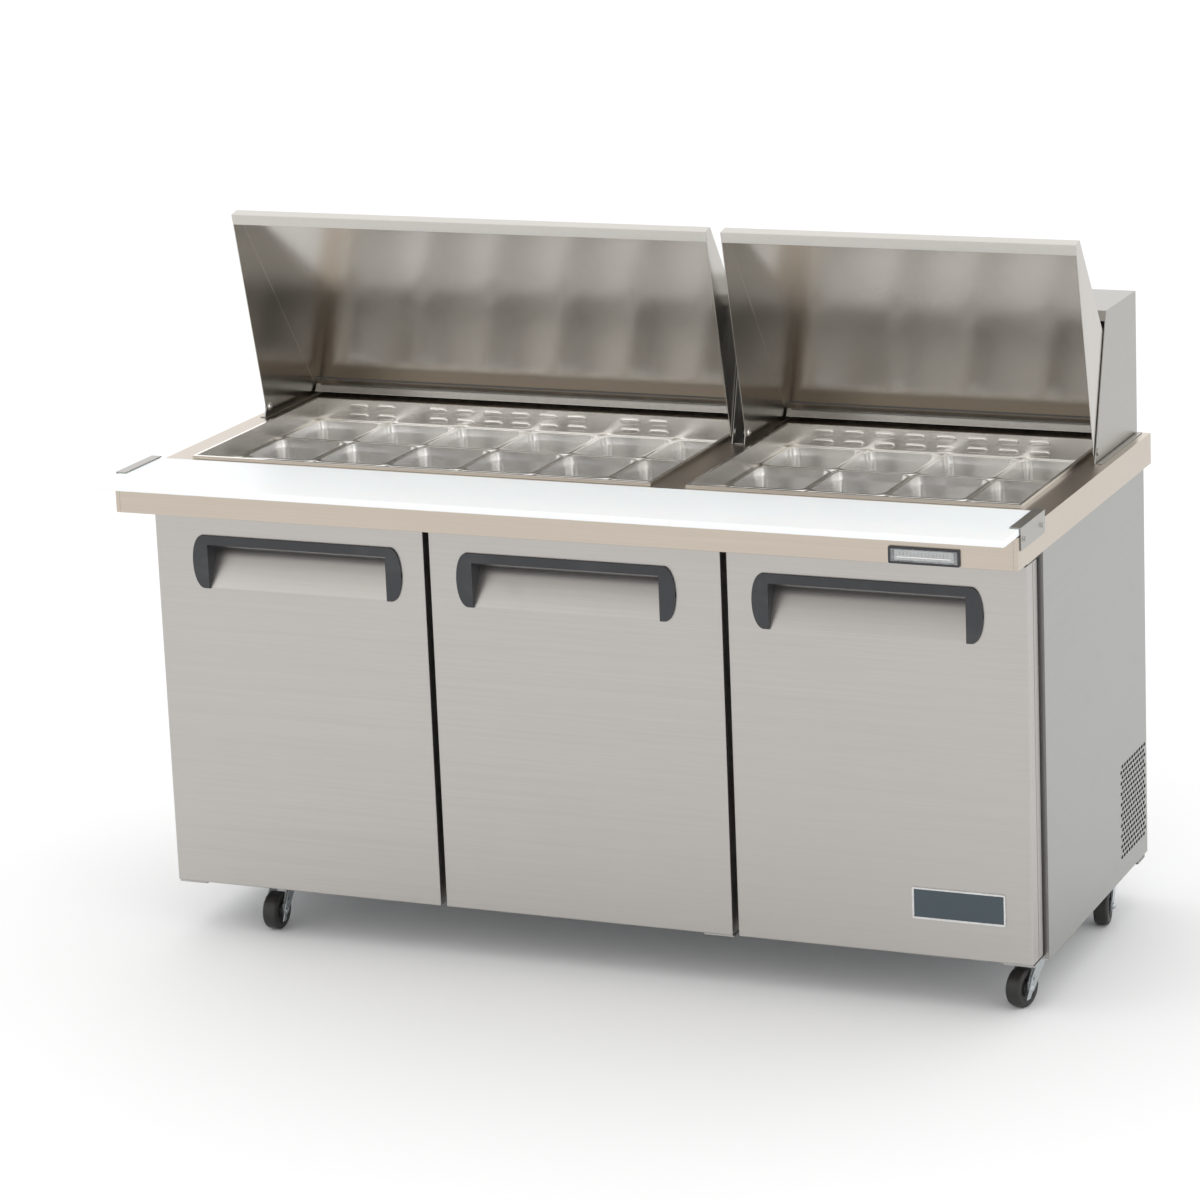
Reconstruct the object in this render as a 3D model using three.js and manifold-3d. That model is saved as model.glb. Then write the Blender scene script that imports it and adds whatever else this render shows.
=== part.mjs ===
// Sandwich prep table: a refrigerated base on casters with three doors, two wells of food pans,
// two folding lids under fixed hoods, and a full-length cutting board along the front.
// Millimetres, +Z up, the doors face -Y. The origin is on the floor under the middle of the outline.

import * as THREE from 'three';
import { mergeVertices } from 'three/addons/utils/BufferGeometryUtils.js';
import Module from 'manifold-3d';

const wasm = await Module();
wasm.setup();

// ---------------------------------------------------------------- driving dimensions

const sheet = 2;            // thickness of folded steel sheet
const clearance = 0.4;      // gap between pieces that touch
const topWidth = 1847;      // countertop
const topDepth = 867;
const topHeight = 963;
const apronHeight = 62;
const boardOverhang = 77;   // cutting board beyond the front of the countertop
const boardDepth = 229;
const boardThickness = 12.7;

const cabinetWidth = 1823;  // outside of the side panels
const cabinetBottom = 97;
const cabinetSetback = 186; // countertop front to the front of the side panels
const cabinetOverhang = 12.6; // countertop rear beyond the back panel
const wallThickness = 40;   // foamed walls

const doorWidths = { left: 586, middle: 606, right: 591 };
const doorGap = 12;
const doorHeight = 772;
const doorBottom = 109;
const doorThickness = 59.8;
const gasketDepth = 13.3;
const hingeInset = 14;      // hinge axis from the side edge of a door
const hingeDepth = 20;      // hinge axis behind the face of a door
const handleWidth = 456;
const handleShift = 17;     // handles sit towards the free edge of their door

const panPitchY = 178.333;
const panRows = 3;
const panDepth = 98;
const panRimHeight = 924;
const wellFrontSetback = 217;
const rimHeight = 7;
const rimWidth = 7;

const lidPivot = { y: 200, z: 985 };
const lidTip = { y: 87, z: 1408 };
const lidHeel = { y: 425, z: 968 };
const lidToe = { y: 186, z: 978 };
const lidLipHeight = 25;
const hoodHeight = 1248;

const wheelRadius = 38;
const wheelWidth = 30;
const casterTrail = 38;
const wheelSides = 24;

// ---------------------------------------------------------------- places worked out from them

const rear = (topDepth + boardOverhang) / 2;
const topFront = rear - topDepth;
const apronBottom = topHeight - apronHeight - 0.1;
const cabinetFront = topFront + cabinetSetback;
const cabinetRear = rear - cabinetOverhang;
const cabinetSide = cabinetWidth / 2;
const cabinetTop = topHeight - sheet - 0.6;
const innerSide = cabinetSide - sheet - 0.3;
const frameDepth = 14;
const wallFront = cabinetFront + frameDepth + clearance;
const cavitySide = innerSide - wallThickness;
const floorTop = cabinetBottom + sheet + clearance + wallThickness - 0.4;
const doorFront = cabinetFront - 0.6 - gasketDepth - 0.3 - doorThickness;
const wellFront = topFront + wellFrontSetback;
const wellRear = wellFront + panRows * panPitchY;
const compartmentFront = 262;
const compartmentTop = 400;

const wells = {
  left: { from: -857.5, columns: 6, pitch: 162.333, louvres: [94, 157, 277, 340, 403, 466, 529, 592, 712, 775] },
  right: { from: 202.5, columns: 4, pitch: 163.5, louvres: [73, 138, 203, 268, 333, 398, 463, 528] },
};

const hoods = {
  left: { from: -895.5, to: 147.5 },
  right: { from: 171.5, to: 895.5 },
};

const doorsTotal = doorWidths.left + doorWidths.middle + doorWidths.right + 2 * doorGap;
const leftDoorEdge = -doorsTotal / 2;
const doors = {
  left: { from: leftDoorEdge, width: doorWidths.left, hinge: -1 },
  middle: { from: leftDoorEdge + doorWidths.left + doorGap, width: doorWidths.middle, hinge: 1 },
  right: { from: -leftDoorEdge - doorWidths.right, width: doorWidths.right, hinge: 1 },
};

const casters = {
  front_left: { x: -723, y: -172, turn: 0, brake: true },
  front_right: { x: 866, y: -172, turn: -15, brake: true },
  rear_left: { x: -723, y: 315, turn: 0, brake: false },
  rear_right: { x: 866, y: 315, turn: 8, brake: false },
};

// ---------------------------------------------------------------- finishes

const finishes = {
  brushedSteel: { color: 0xacaaa4, roughness: 0.38, metalness: 0.9 },
  warmSteel: { color: 0xc8bcae, roughness: 0.3, metalness: 0.9 },
  polishedSteel: { color: 0xb8b4ae, roughness: 0.15, metalness: 1.0 },
  zinc: { color: 0xb9c2c2, roughness: 0.35, metalness: 0.9 },
  galvanized: { color: 0x9da2a4, roughness: 0.5, metalness: 0.8 },
  charcoalPlastic: { color: 0x3e4046, roughness: 0.55, metalness: 0.0 },
  whitePlastic: { color: 0xf4f6f8, roughness: 0.45, metalness: 0.0 },
  blackRubber: { color: 0x1a1a18, roughness: 0.7, metalness: 0.0 },
  greyGasket: { color: 0x2c2c2c, roughness: 0.75, metalness: 0.0 },
  foam: { color: 0xd8cfa8, roughness: 0.9, metalness: 0.0 },
  aluminium: { color: 0xc4c6c8, roughness: 0.4, metalness: 0.9 },
  blackEnamel: { color: 0x151515, roughness: 0.4, metalness: 0.2 },
  slatePlate: { color: 0x3c4850, roughness: 0.4, metalness: 0.3 },
};

// ---------------------------------------------------------------- solid helpers

// Corners are snapped to a binary fraction of a millimetre, so that flush faces are exactly flush when joined.
const snap = 256;

function toSolid(geometry) {
  const bare = geometry.clone();
  bare.deleteAttribute('normal');
  bare.deleteAttribute('uv');
  const position = bare.attributes.position;
  for (let i = 0; i < position.array.length; i += 1) {
    position.array[i] = Math.round(position.array[i] * snap) / snap;
  }
  const merged = mergeVertices(bare, 1e-4);
  const mesh = new wasm.Mesh({
    numProp: 3,
    vertProperties: Float32Array.from(merged.attributes.position.array),
    triVerts: Uint32Array.from(merged.index.array),
  });
  return new wasm.Manifold(mesh);
}

function toGeometry(solid) {
  const mesh = solid.getMesh();
  const geometry = new THREE.BufferGeometry();
  geometry.setAttribute('position', new THREE.BufferAttribute(Float32Array.from(mesh.vertProperties), 3));
  geometry.setIndex(new THREE.BufferAttribute(Uint32Array.from(mesh.triVerts), 1));
  return geometry;
}

function join(...solids) {
  return solids.reduce((whole, next) => whole.add(next));
}

function cut(solid, ...tools) {
  return tools.reduce((rest, tool) => rest.subtract(tool), solid);
}

function block([x0, x1], [y0, y1], [z0, z1]) {
  const geometry = new THREE.BoxGeometry(x1 - x0, y1 - y0, z1 - z0);
  geometry.translate((x0 + x1) / 2, (y0 + y1) / 2, (z0 + z1) / 2);
  return toSolid(geometry);
}

function cylinder(axis, radius, centre, length, sides = 16) {
  const geometry = new THREE.CylinderGeometry(radius, radius, length, sides);
  geometry.rotateY(Math.PI / sides);
  if (axis === 'x') {
    geometry.rotateZ(Math.PI / 2);
  }
  if (axis === 'z') {
    geometry.rotateX(Math.PI / 2);
  }
  geometry.translate(...centre);
  return toSolid(geometry);
}

function extruded(points, depth, basis) {
  const shape = new THREE.Shape(points.map(([a, b]) => new THREE.Vector2(a, b)));
  const geometry = new THREE.ExtrudeGeometry(shape, { depth, bevelEnabled: false });
  geometry.applyMatrix4(basis);
  return toSolid(geometry);
}

// A prism along X whose section is a list of [y, z] points.
function prismX(points, x0, x1) {
  const basis = new THREE.Matrix4().makeBasis(
    new THREE.Vector3(0, 1, 0),
    new THREE.Vector3(0, 0, 1),
    new THREE.Vector3(1, 0, 0),
  );
  basis.setPosition(x0, 0, 0);
  return extruded(points, x1 - x0, basis);
}

// A prism along Y whose section is a list of [x, z] points.
function prismY(points, y0, y1) {
  const basis = new THREE.Matrix4().makeBasis(
    new THREE.Vector3(1, 0, 0),
    new THREE.Vector3(0, 0, 1),
    new THREE.Vector3(0, -1, 0),
  );
  basis.setPosition(0, y1, 0);
  return extruded(points, y1 - y0, basis);
}

// A block that narrows from its upper to its lower end.
function taperedBlock(centre, upper, lower, [z0, z1]) {
  const geometry = new THREE.BoxGeometry(1, 1, z1 - z0);
  const position = geometry.attributes.position;
  for (let i = 0; i < position.count; i += 1) {
    const size = position.getZ(i) > 0 ? upper : lower;
    position.setX(i, position.getX(i) * size[0]);
    position.setY(i, position.getY(i) * size[1]);
  }
  geometry.translate(centre[0], centre[1], (z0 + z1) / 2);
  return toSolid(geometry);
}

const table = new THREE.Group();

function addPart(name, solid, finish, parent = table) {
  const mesh = new THREE.Mesh(toGeometry(solid), new THREE.MeshStandardMaterial(finishes[finish]));
  mesh.name = name;
  parent.add(mesh);
  return mesh;
}

function addGroup(x, y, z, turn = 0) {
  const group = new THREE.Group();
  group.position.set(x, y, z);
  group.rotation.z = THREE.MathUtils.degToRad(turn);
  table.add(group);
  return group;
}

// ---------------------------------------------------------------- cabinet

function makeBase() {
  const plateHalf = 38;
  const plateThickness = 3.5;
  const floor = block([-innerSide, innerSide], [cabinetFront + 0.3, cabinetRear - 2.4],
    [cabinetBottom, cabinetBottom + sheet]);
  const plates = Object.values(casters).map(({ x, y }) =>
    block([x - plateHalf, x + plateHalf], [y - 32, y + 32],
      [cabinetBottom + 0.2 - plateThickness, cabinetBottom + 1]));
  addPart('base_pan', join(floor, ...plates), 'galvanized');
}

function grilleSlots() {
  const slots = [];
  for (let row = 0; row < 11; row += 1) {
    for (let column = 0; column < 4; column += 1) {
      const y = 274 + column * 44 + (row % 2) * 12;
      const z = 137 + row * 20;
      slots.push(block([cabinetSide - 5, cabinetSide + 5], [y, y + 26], [z, z + 10]));
    }
  }
  return slots;
}

function makeSidePanels() {
  const span = [cabinetFront, cabinetRear];
  const height = [cabinetBottom, cabinetTop];
  addPart('left_side_panel', block([-cabinetSide, -cabinetSide + sheet], span, height), 'brushedSteel');
  const right = cut(block([cabinetSide - sheet, cabinetSide], span, height), ...grilleSlots());
  addPart('right_side_panel', right, 'brushedSteel');
}

function makeBackPanels() {
  const skin = [cabinetRear - sheet, cabinetRear];
  addPart('back_panel', block([-innerSide, innerSide], skin, [compartmentTop + clearance, cabinetTop]),
    'galvanized');
  const cover = block([-innerSide, innerSide], skin, [cabinetBottom + sheet + clearance, compartmentTop]);
  const slots = [];
  for (const x of [-560, 0, 560]) {
    for (let row = 0; row < 6; row += 1) {
      const z = 160 + row * 32;
      slots.push(block([x - 150, x + 150], [cabinetRear - 5, cabinetRear + 5], [z, z + 12]));
    }
  }
  addPart('machine_cover', cut(cover, ...slots), 'galvanized');
}

function steppedSection(inset, front, top) {
  const lower = compartmentFront - wallThickness - inset;
  const upper = cabinetRear - sheet - clearance - wallThickness - inset;
  const step = compartmentTop + wallThickness + inset;
  return [
    [front, floorTop + inset],
    [lower, floorTop + inset],
    [lower, step],
    [upper, step],
    [upper, top],
    [front, top],
  ];
}

function makeCabinetWalls() {
  const back = cabinetRear - sheet - clearance;
  const bottom = cabinetBottom + sheet + clearance;
  const outline = [
    [wallFront, bottom],
    [compartmentFront, bottom],
    [compartmentFront, compartmentTop],
    [back, compartmentTop],
    [back, cabinetTop - clearance],
    [wallFront, cabinetTop - clearance],
  ];
  const outer = prismX(outline, -innerSide, innerSide);
  const cavity = prismX(steppedSection(0, wallFront - 5, cabinetTop + 5), -cavitySide, cavitySide);
  addPart('insulation_body', cut(outer, cavity), 'foam');

  const skin = 1.2;
  const linerOuter = prismX(steppedSection(0.3, wallFront, cabinetTop - 5), 0.3 - cavitySide, cavitySide - 0.3);
  const linerInner = prismX(steppedSection(0.3 + skin, wallFront - 5, cabinetTop),
    0.3 + skin - cavitySide, cavitySide - 0.3 - skin);
  addPart('cabinet_liner', cut(linerOuter, linerInner), 'aluminium');
}

const mullionHalf = 38;
const openingBottom = 150;
const openingTop = 840;
const openingSide = cavitySide - 9;
const mullionCentres = [doors.left.from + doors.left.width + doorGap / 2, doors.right.from - doorGap / 2];

function makeFrontFrame() {
  const depth = [cabinetFront, cabinetFront + frameDepth];
  const face = block([-innerSide, innerSide], depth, [cabinetBottom + sheet + clearance, cabinetTop - clearance]);
  const edges = [-openingSide, ...mullionCentres.flatMap((x) => [x - mullionHalf, x + mullionHalf]), openingSide];
  const holes = [0, 2, 4].map((i) =>
    block([edges[i], edges[i + 1]], [depth[0] - 5, depth[1] + 5], [openingBottom, openingTop]));
  const channels = mullionCentres.map((x) =>
    block([x - 20, x + 20], [depth[1] - 1, depth[1] + 45], [openingBottom, openingTop - 20]));
  addPart('front_frame', join(cut(face, ...holes), ...channels), 'brushedSteel');
}

// ---------------------------------------------------------------- countertop and wells

function wellSpan(well) {
  return [well.from, well.from + well.columns * well.pitch];
}

function makeCountertop() {
  const half = topWidth / 2;
  const outer = block([-half, half], [topFront, rear], [apronBottom, topHeight]);
  const hollow = block([-half + sheet, half - sheet], [topFront + sheet, rear - sheet],
    [apronBottom + sheet, topHeight - sheet]);
  const mouth = block([-half + sheet, half - sheet], [topFront + 20, rear - sheet],
    [apronBottom - 5, apronBottom + 5]);
  const holes = Object.values(wells).map((well) => {
    const [x0, x1] = wellSpan(well);
    return block([x0 - 3, x1 + 3], [wellFront - 3, wellRear + 3], [topHeight - 5, topHeight + 5]);
  });
  addPart('countertop', cut(outer, hollow, mouth, ...holes), 'warmSteel');
}

const rackTop = panRimHeight - 2.4;
const louvreHeights = [956.5, 936];

// A raised rim, four walls, and a rack of bars that the pans hang from; cold air passes the louvres at the back.
function makeWell(side) {
  const well = wells[side];
  const [x0, x1] = wellSpan(well);
  const rimTop = topHeight + rimHeight;
  const rackBottom = rackTop - 14;
  const ledge = 5;
  const barHalf = 4;
  const walls = block([x0 - sheet, x1 + sheet], [wellFront - sheet, wellRear + sheet], [830, rimTop - 1]);
  const rim = block([x0 - rimWidth, x1 + rimWidth], [wellFront - rimWidth, wellRear + rimWidth],
    [topHeight + clearance, rimTop]);
  const upper = block([x0, x1], [wellFront, wellRear], [rackTop, rimTop + 10]);
  const lower = block([x0, x1], [wellFront, wellRear], [820, rackBottom]);
  const cells = [];
  for (let column = 0; column < well.columns; column += 1) {
    const left = x0 + column * well.pitch + (column === 0 ? ledge : barHalf);
    const right = x0 + (column + 1) * well.pitch - (column === well.columns - 1 ? ledge : barHalf);
    for (let row = 0; row < panRows; row += 1) {
      const front = wellFront + row * panPitchY + (row === 0 ? ledge : barHalf);
      const back = wellFront + (row + 1) * panPitchY - (row === panRows - 1 ? ledge : barHalf);
      cells.push(block([left, right], [front, back], [rackBottom - 2, rackTop + 2]));
    }
  }
  const slots = louvreHeights.flatMap((z) =>
    well.louvres.map((x) => block([x0 + x - 20, x0 + x + 20], [wellRear - 1, wellRear + 5], [z - 4, z + 3])));
  addPart(`${side}_pan_well`, cut(join(walls, rim), upper, lower, ...cells, ...slots), 'polishedSteel');
}

function makePans(side) {
  const well = wells[side];
  const [x0, x1] = wellSpan(well);
  const cups = [];
  const hollows = [];
  for (let column = 0; column < well.columns; column += 1) {
    for (let row = 0; row < panRows; row += 1) {
      const centre = [x0 + (column + 0.5) * well.pitch, wellFront + (row + 0.5) * panPitchY];
      const bottom = panRimHeight - panDepth - 2;
      cups.push(taperedBlock(centre, [150, 164], [132, 146], [bottom, panRimHeight - 1]));
      hollows.push(taperedBlock(centre, [147.4, 161.4], [129, 143], [bottom + 1.5, panRimHeight + 1]));
    }
  }
  const rims = block([x0 + clearance, x1 - clearance], [wellFront + clearance, wellRear - clearance],
    [panRimHeight - 2, panRimHeight]);
  addPart(`${side}_pans`, cut(join(rims, ...cups), ...hollows), 'polishedSteel');
}

// ---------------------------------------------------------------- cutting board

const boardHalf = topWidth / 2 - 1;
const boardBottom = topHeight + 1;

function makeBoard() {
  addPart('cutting_board', block([-boardHalf, boardHalf], [-rear, -rear + boardDepth],
    [boardBottom, boardBottom + boardThickness]), 'whitePlastic');
  for (const [name, side] of [['left', -1], ['right', 1]]) {
    const outside = topWidth / 2 + 0.4;
    const along = (a, b) => [Math.min(side * a, side * b), Math.max(side * a, side * b)];
    const flangeBottom = boardBottom + boardThickness + 0.5;
    const length = [topFront + 12, topFront + 156];
    const plate = block(along(outside, outside + sheet), length, [936, flangeBottom + sheet]);
    const flange = block(along(outside - 20, outside + 1), length, [flangeBottom, flangeBottom + sheet]);
    const bolts = [30, 135].map((setback) =>
      cylinder('x', 5, [side * (outside + 3), topFront + setback, 955], 4.6, 8));
    addPart(`${name}_board_bracket`, join(plate, flange, ...bolts), 'brushedSteel');
  }
}

// ---------------------------------------------------------------- hoods and lids

const studRadius = 5;

function makeHood(side) {
  const { from, to } = hoods[side];
  const bottom = topHeight + clearance;
  const outline = [[183, bottom], [rear, bottom], [rear, hoodHeight], [269, hoodHeight]];
  const under = hoodHeight - sheet;
  const lipBottom = hoodHeight - 20;
  const hollowOutline = [[150, bottom - 5], [rear - sheet, bottom - 5], [rear - sheet, under], [270.5, under],
    [265.1, lipBottom], [150, lipBottom]];
  const shell = cut(prismX(outline, from, to), prismX(hollowOutline, from + sheet, to - sheet));
  const studs = [[from, 1], [to, -1]].flatMap(([x, inward]) => [
    cylinder('x', studRadius, [x + inward * 3.5, lidPivot.y, lidPivot.z], 9, 12),
    cylinder('x', 8, [x - inward * 1.25, lidPivot.y, lidPivot.z], 3.5, 6),
  ]);
  addPart(`${side}_hood`, join(shell, ...studs), 'brushedSteel');
}

function offsetPoint(point, direction, distance) {
  return [point[0] + direction[0] * distance, point[1] + direction[1] * distance];
}

function directionOf(a, b) {
  const length = Math.hypot(b[0] - a[0], b[1] - a[1]);
  return [(b[0] - a[0]) / length, (b[1] - a[1]) / length];
}

// The lid is drawn where it stands open: its long panel runs from the lip down to the heel in the hood.
function makeLid(side) {
  const from = hoods[side].from + 3;
  const to = hoods[side].to - 3;
  const tip = [lidTip.y, lidTip.z];
  const heel = [lidHeel.y, lidHeel.z];
  const toe = [lidToe.y, lidToe.z];
  const alongSide = directionOf(tip, toe);
  const outward = [-alongSide[1], alongSide[0]];
  const lipTop = offsetPoint(tip, outward, lidLipHeight);
  const alongPanel = directionOf(lipTop, heel);
  const inward = [alongPanel[1], -alongPanel[0]];
  const place = (point, u, v) => offsetPoint(offsetPoint(point, alongSide, u), outward, v);
  const hem = 22;
  const hollowOutline = [
    place(tip, sheet, sheet),
    place(lipTop, sheet, -sheet / 2),
    offsetPoint(offsetPoint(heel, inward, sheet), alongPanel, 20),
    [toe[0] - 40, toe[1] - 60],
    place(tip, hem, -30),
    place(tip, hem, sheet),
  ];
  const shell = cut(prismX([tip, lipTop, heel, toe], from, to), prismX(hollowOutline, from + sheet, to - sheet));
  const holes = cylinder('x', studRadius + 0.4, [(from + to) / 2, lidPivot.y, lidPivot.z], to - from + 10, 12);
  addPart(`${side}_lid`, cut(shell, holes), 'brushedSteel');
}

// ---------------------------------------------------------------- doors

const pocketHalf = handleWidth / 2 - 30;
const pocketBottom = 618;
const pocketTop = 721;
const pocketDepth = 42;

// The arch's two ends are half ovals that taper to a tip beside the pocket.
function handleOutline() {
  const top = 726;
  const barBottom = 707;
  const endWidth = 24;
  const middleX = handleWidth / 2 - endWidth;
  const middleZ = (top + pocketBottom) / 2;
  const rise = (top - pocketBottom) / 2;
  const power = 2 / 2.4;
  const end = [];
  for (let step = -8; step <= 8; step += 1) {
    const angle = (step * Math.PI) / 16;
    const height = Math.sign(step) * Math.abs(Math.sin(angle)) ** power;
    end.push([middleX + endWidth * Math.abs(Math.cos(angle)) ** power, middleZ + rise * height]);
  }
  const otherEnd = end.map(([x, z]) => [-x, z]).reverse();
  const inner = pocketHalf - 3.5;
  return [...end, ...otherEnd, [-inner, pocketBottom], [-inner, barBottom], [inner, barBottom], [inner, pocketBottom]];
}

function makeHandle(name, shift, parent) {
  const face = prismY(handleOutline(), -4, -0.3);
  const top = pocketTop - 0.4;
  const back = pocketDepth - 0.4;
  const half = pocketHalf - 0.4;
  const lining = cut(
    prismX([[-2, 619], [0, 619], [back, 695.4], [back, top], [-2, top]], -half, half),
    block([2.6 - half, half - 2.6], [-5, pocketDepth + 5], [600, top - 2]),
  );
  const handle = addPart(name, join(face, lining), 'charcoalPlastic', parent);
  handle.position.x = shift;
}

function makeDoor(side) {
  const { from, width, hinge } = doors[side];
  const half = width / 2;
  const skin = 1.5;
  const group = addGroup(from + half, doorFront, doorBottom);
  const shift = -hinge * handleShift;
  const tray = cut(
    block([-half, half], [0, doorThickness], [0, doorHeight]),
    block([skin - half, half - skin], [skin, doorThickness + 5], [skin, doorHeight - skin]),
  );
  const pocketShell = prismX([[0.5, 615.6], [pocketDepth + skin, 694.4], [pocketDepth + skin, pocketTop + skin],
    [0.5, pocketTop + skin]], shift - pocketHalf - skin, shift + pocketHalf + skin);
  const pocket = prismX([[-1, pocketBottom], [0, pocketBottom], [pocketDepth, 695], [pocketDepth, pocketTop],
    [-1, pocketTop]], shift - pocketHalf, shift + pocketHalf);
  const pinHole = cylinder('z', 4.6, [hinge * (half - hingeInset), hingeDepth, doorHeight / 2], doorHeight + 10, 12);
  addPart(`${side}_door_shell`, cut(join(tray, pocketShell), pocket, pinHole), 'brushedSteel', group);

  const linerHalf = half - skin - 0.5;
  const liner = cut(
    block([-linerHalf, linerHalf], [45, doorThickness - 0.2], [2, doorHeight - 2]),
    block([1.2 - linerHalf, linerHalf - 1.2], [40, doorThickness - 2.2], [3.2, doorHeight - 3.2]),
  );
  addPart(`${side}_door_liner`, liner, 'aluminium', group);

  const gasketFront = doorThickness + 0.3;
  const sealHalf = half - hingeInset;
  const gasket = cut(
    block([-sealHalf, sealHalf], [gasketFront, gasketFront + gasketDepth], [14, doorHeight - 14]),
    block([16 - sealHalf, sealHalf - 16], [gasketFront - 5, gasketFront + gasketDepth + 5], [30, doorHeight - 30]),
  );
  addPart(`${side}_door_gasket`, gasket, 'greyGasket', group);
  makeHandle(`${side}_door_handle`, shift, group);
  return group;
}

// Each hinge is a folded bracket on the front frame with a pin that runs into the end of the door.
function makeHinges(side) {
  const { from, width, hinge } = doors[side];
  const edge = hinge > 0 ? from + width : from;
  const spanX = [edge, edge - hinge * 62].sort((a, b) => a - b);
  const pinX = edge - hinge * hingeInset;
  const pinY = doorFront + hingeDepth;
  const frontY = doorFront + 6;
  const backY = cabinetFront - 0.3;
  const lower = join(
    block(spanX, [frontY, backY], [104, 107.5]),
    block(spanX, [backY - 3, backY], [99.5, 107.5]),
    cylinder('z', 4, [pinX, pinY, 114.5], 19, 12),
  );
  addPart(`${side}_door_lower_hinge`, lower, 'zinc');
  const top = doorBottom + doorHeight;
  const upper = join(
    block(spanX, [frontY, backY], [top + 1.5, top + 5]),
    block(spanX, [backY - 3, backY], [top + 1.5, top + 17]),
    cylinder('z', 4, [pinX, pinY, top - 6], 19, 12),
  );
  addPart(`${side}_door_upper_hinge`, upper, 'zinc');
}

function makeNamePlate(parent) {
  const plate = block([-92, 92], [-2.3, -0.3], [-31, 31]);
  const panel = block([-88, 88], [-3, -1.6], [-27, 27]);
  const badge = addPart('name_plate', cut(plate, panel), 'slatePlate', parent);
  badge.position.set(759.5 - parent.position.x, 0, 213 - doorBottom);
}

// ---------------------------------------------------------------- shelves

function makeShelf(name, x0, x1) {
  const y0 = -145;
  const y1 = 405;
  const wire = 5;
  const columns = 10;
  const rows = 2;
  const cells = [];
  for (let column = 0; column < columns; column += 1) {
    const left = x0 + wire + ((x1 - x0 - wire) * column) / columns;
    for (let row = 0; row < rows; row += 1) {
      const front = y0 + wire + ((y1 - y0 - wire) * row) / rows;
      cells.push(block([left, left + (x1 - x0 - wire) / columns - wire],
        [front, front + (y1 - y0 - wire) / rows - wire], [460, 490]));
    }
  }
  addPart(name, cut(block([x0, x1], [y0, y1], [472, 478]), ...cells), 'whitePlastic');
}

// ---------------------------------------------------------------- refrigeration

function makeFan(name, axis, centre, radius, hubRadius) {
  const hub = cylinder('z', hubRadius, [0, 0, 0], 12, 16);
  const blades = [];
  for (let i = 0; i < 5; i += 1) {
    const blade = new THREE.BoxGeometry(radius - hubRadius + 4, 30, 1.6);
    blade.rotateX(THREE.MathUtils.degToRad(22));
    blade.translate((radius + hubRadius - 4) / 2, 0, 0);
    blade.rotateZ((i * 2 * Math.PI) / 5);
    blades.push(toSolid(blade));
  }
  const shaftHole = cylinder('z', 4.5, [0, 0, 0], 30, 12);
  const fan = addPart(name, cut(join(hub, ...blades), shaftHole), 'blackEnamel');
  fan.position.set(...centre);
  fan.rotation.set(axis === 'y' ? Math.PI / 2 : 0, axis === 'x' ? Math.PI / 2 : 0, 0);
}

function makeCondensingUnit() {
  const profile = [[0, 99.6], [78, 99.6], [78, 112], [70, 118], [72, 160], [72, 220], [62, 248], [34, 264],
    [0, 268]].map(([radius, height]) => new THREE.Vector2(radius, height));
  const pot = new THREE.LatheGeometry(profile, 20);
  pot.rotateX(Math.PI / 2);
  pot.translate(520, 358, 0);
  addPart('compressor', toSolid(pot), 'blackEnamel');

  addPart('condenser_coil', block([846, 884], [275, 447], [110, 380]), 'aluminium');

  const centreY = 361;
  const centreZ = 245;
  const plate = cut(
    block([838, 840], [275, 447], [110, 380]),
    cylinder('x', 80, [839, centreY, centreZ], 20, 24),
  );
  const motor = cylinder('x', 28, [775, centreY, centreZ], 44, 16);
  const shaft = cylinder('x', 4, [805, centreY, centreZ], 24, 12);
  const bridge = block([791, 795], [centreY - 8, centreY + 8], [centreZ - 110, centreZ + 110]);
  const arms = [-108, 108].map((z) =>
    block([791, 839], [centreY - 8, centreY + 8], [centreZ + z - 2, centreZ + z + 2]));
  addPart('condenser_shroud', join(plate, motor, shaft, bridge, ...arms), 'blackEnamel');
  makeFan('condenser_fan', 'x', [809, centreY, centreZ], 74, 24);
}

function makeEvaporator() {
  const coil = block([-320, 320], [372, 410], [560, 740]);
  const motor = cylinder('y', 24, [0, 366, 650], 14, 16);
  const shaft = cylinder('y', 4, [0, 352, 650], 24, 12);
  addPart('evaporator_coil', join(coil, motor, shaft), 'aluminium');
  makeFan('evaporator_fan', 'y', [0, 349, 650], 78, 22);
}

// ---------------------------------------------------------------- casters

function makeCaster(name, { x, y, turn, brake }) {
  const group = addGroup(x, y, 0, turn);
  const hub = [0, -casterTrail, wheelRadius];
  const outerRadius = wheelRadius / Math.cos(Math.PI / wheelSides);
  const wheel = cut(
    cylinder('x', outerRadius, hub, wheelWidth, wheelSides),
    cylinder('x', 6.5, hub, wheelWidth + 10, 12),
  );
  addPart(`${name}_wheel`, wheel, 'blackRubber', group);

  const legOutline = [[-10, 30], [10, 30], [52, 80], [52, 84], [14, 84], [-10, 50]]
    .map(([a, b]) => [a - casterTrail, b]);
  const bridle = cut(
    prismX(legOutline, -20.5, 20.5),
    block([-17.5, 17.5], [-100, 100], [10, 80]),
  );
  const race = cylinder('z', 18, [0, 0, 88], 10.6, 20);
  const axle = cylinder('x', 6, hub, 41.2, 12);
  const pieces = [bridle, race, axle];
  const pivot = [0, 8 - casterTrail, 56];
  if (brake) {
    pieces.push(cylinder('x', 3, [21.5, pivot[1], pivot[2]], 8, 10));
  }
  addPart(`${name}_fork`, join(...pieces), 'zinc', group);
  if (brake) {
    const outline = [[-18, 20], [-6, 20], [17, 56], [34, 88], [22, 90], [1, 60]].map(([a, b]) => [a - casterTrail, b]);
    const lever = cut(
      prismX(outline, 21.2, 23.4),
      cylinder('x', 3.4, [22, pivot[1], pivot[2]], 10, 10),
    );
    addPart(`${name}_brake`, lever, 'zinc', group);
  }
}

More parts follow.
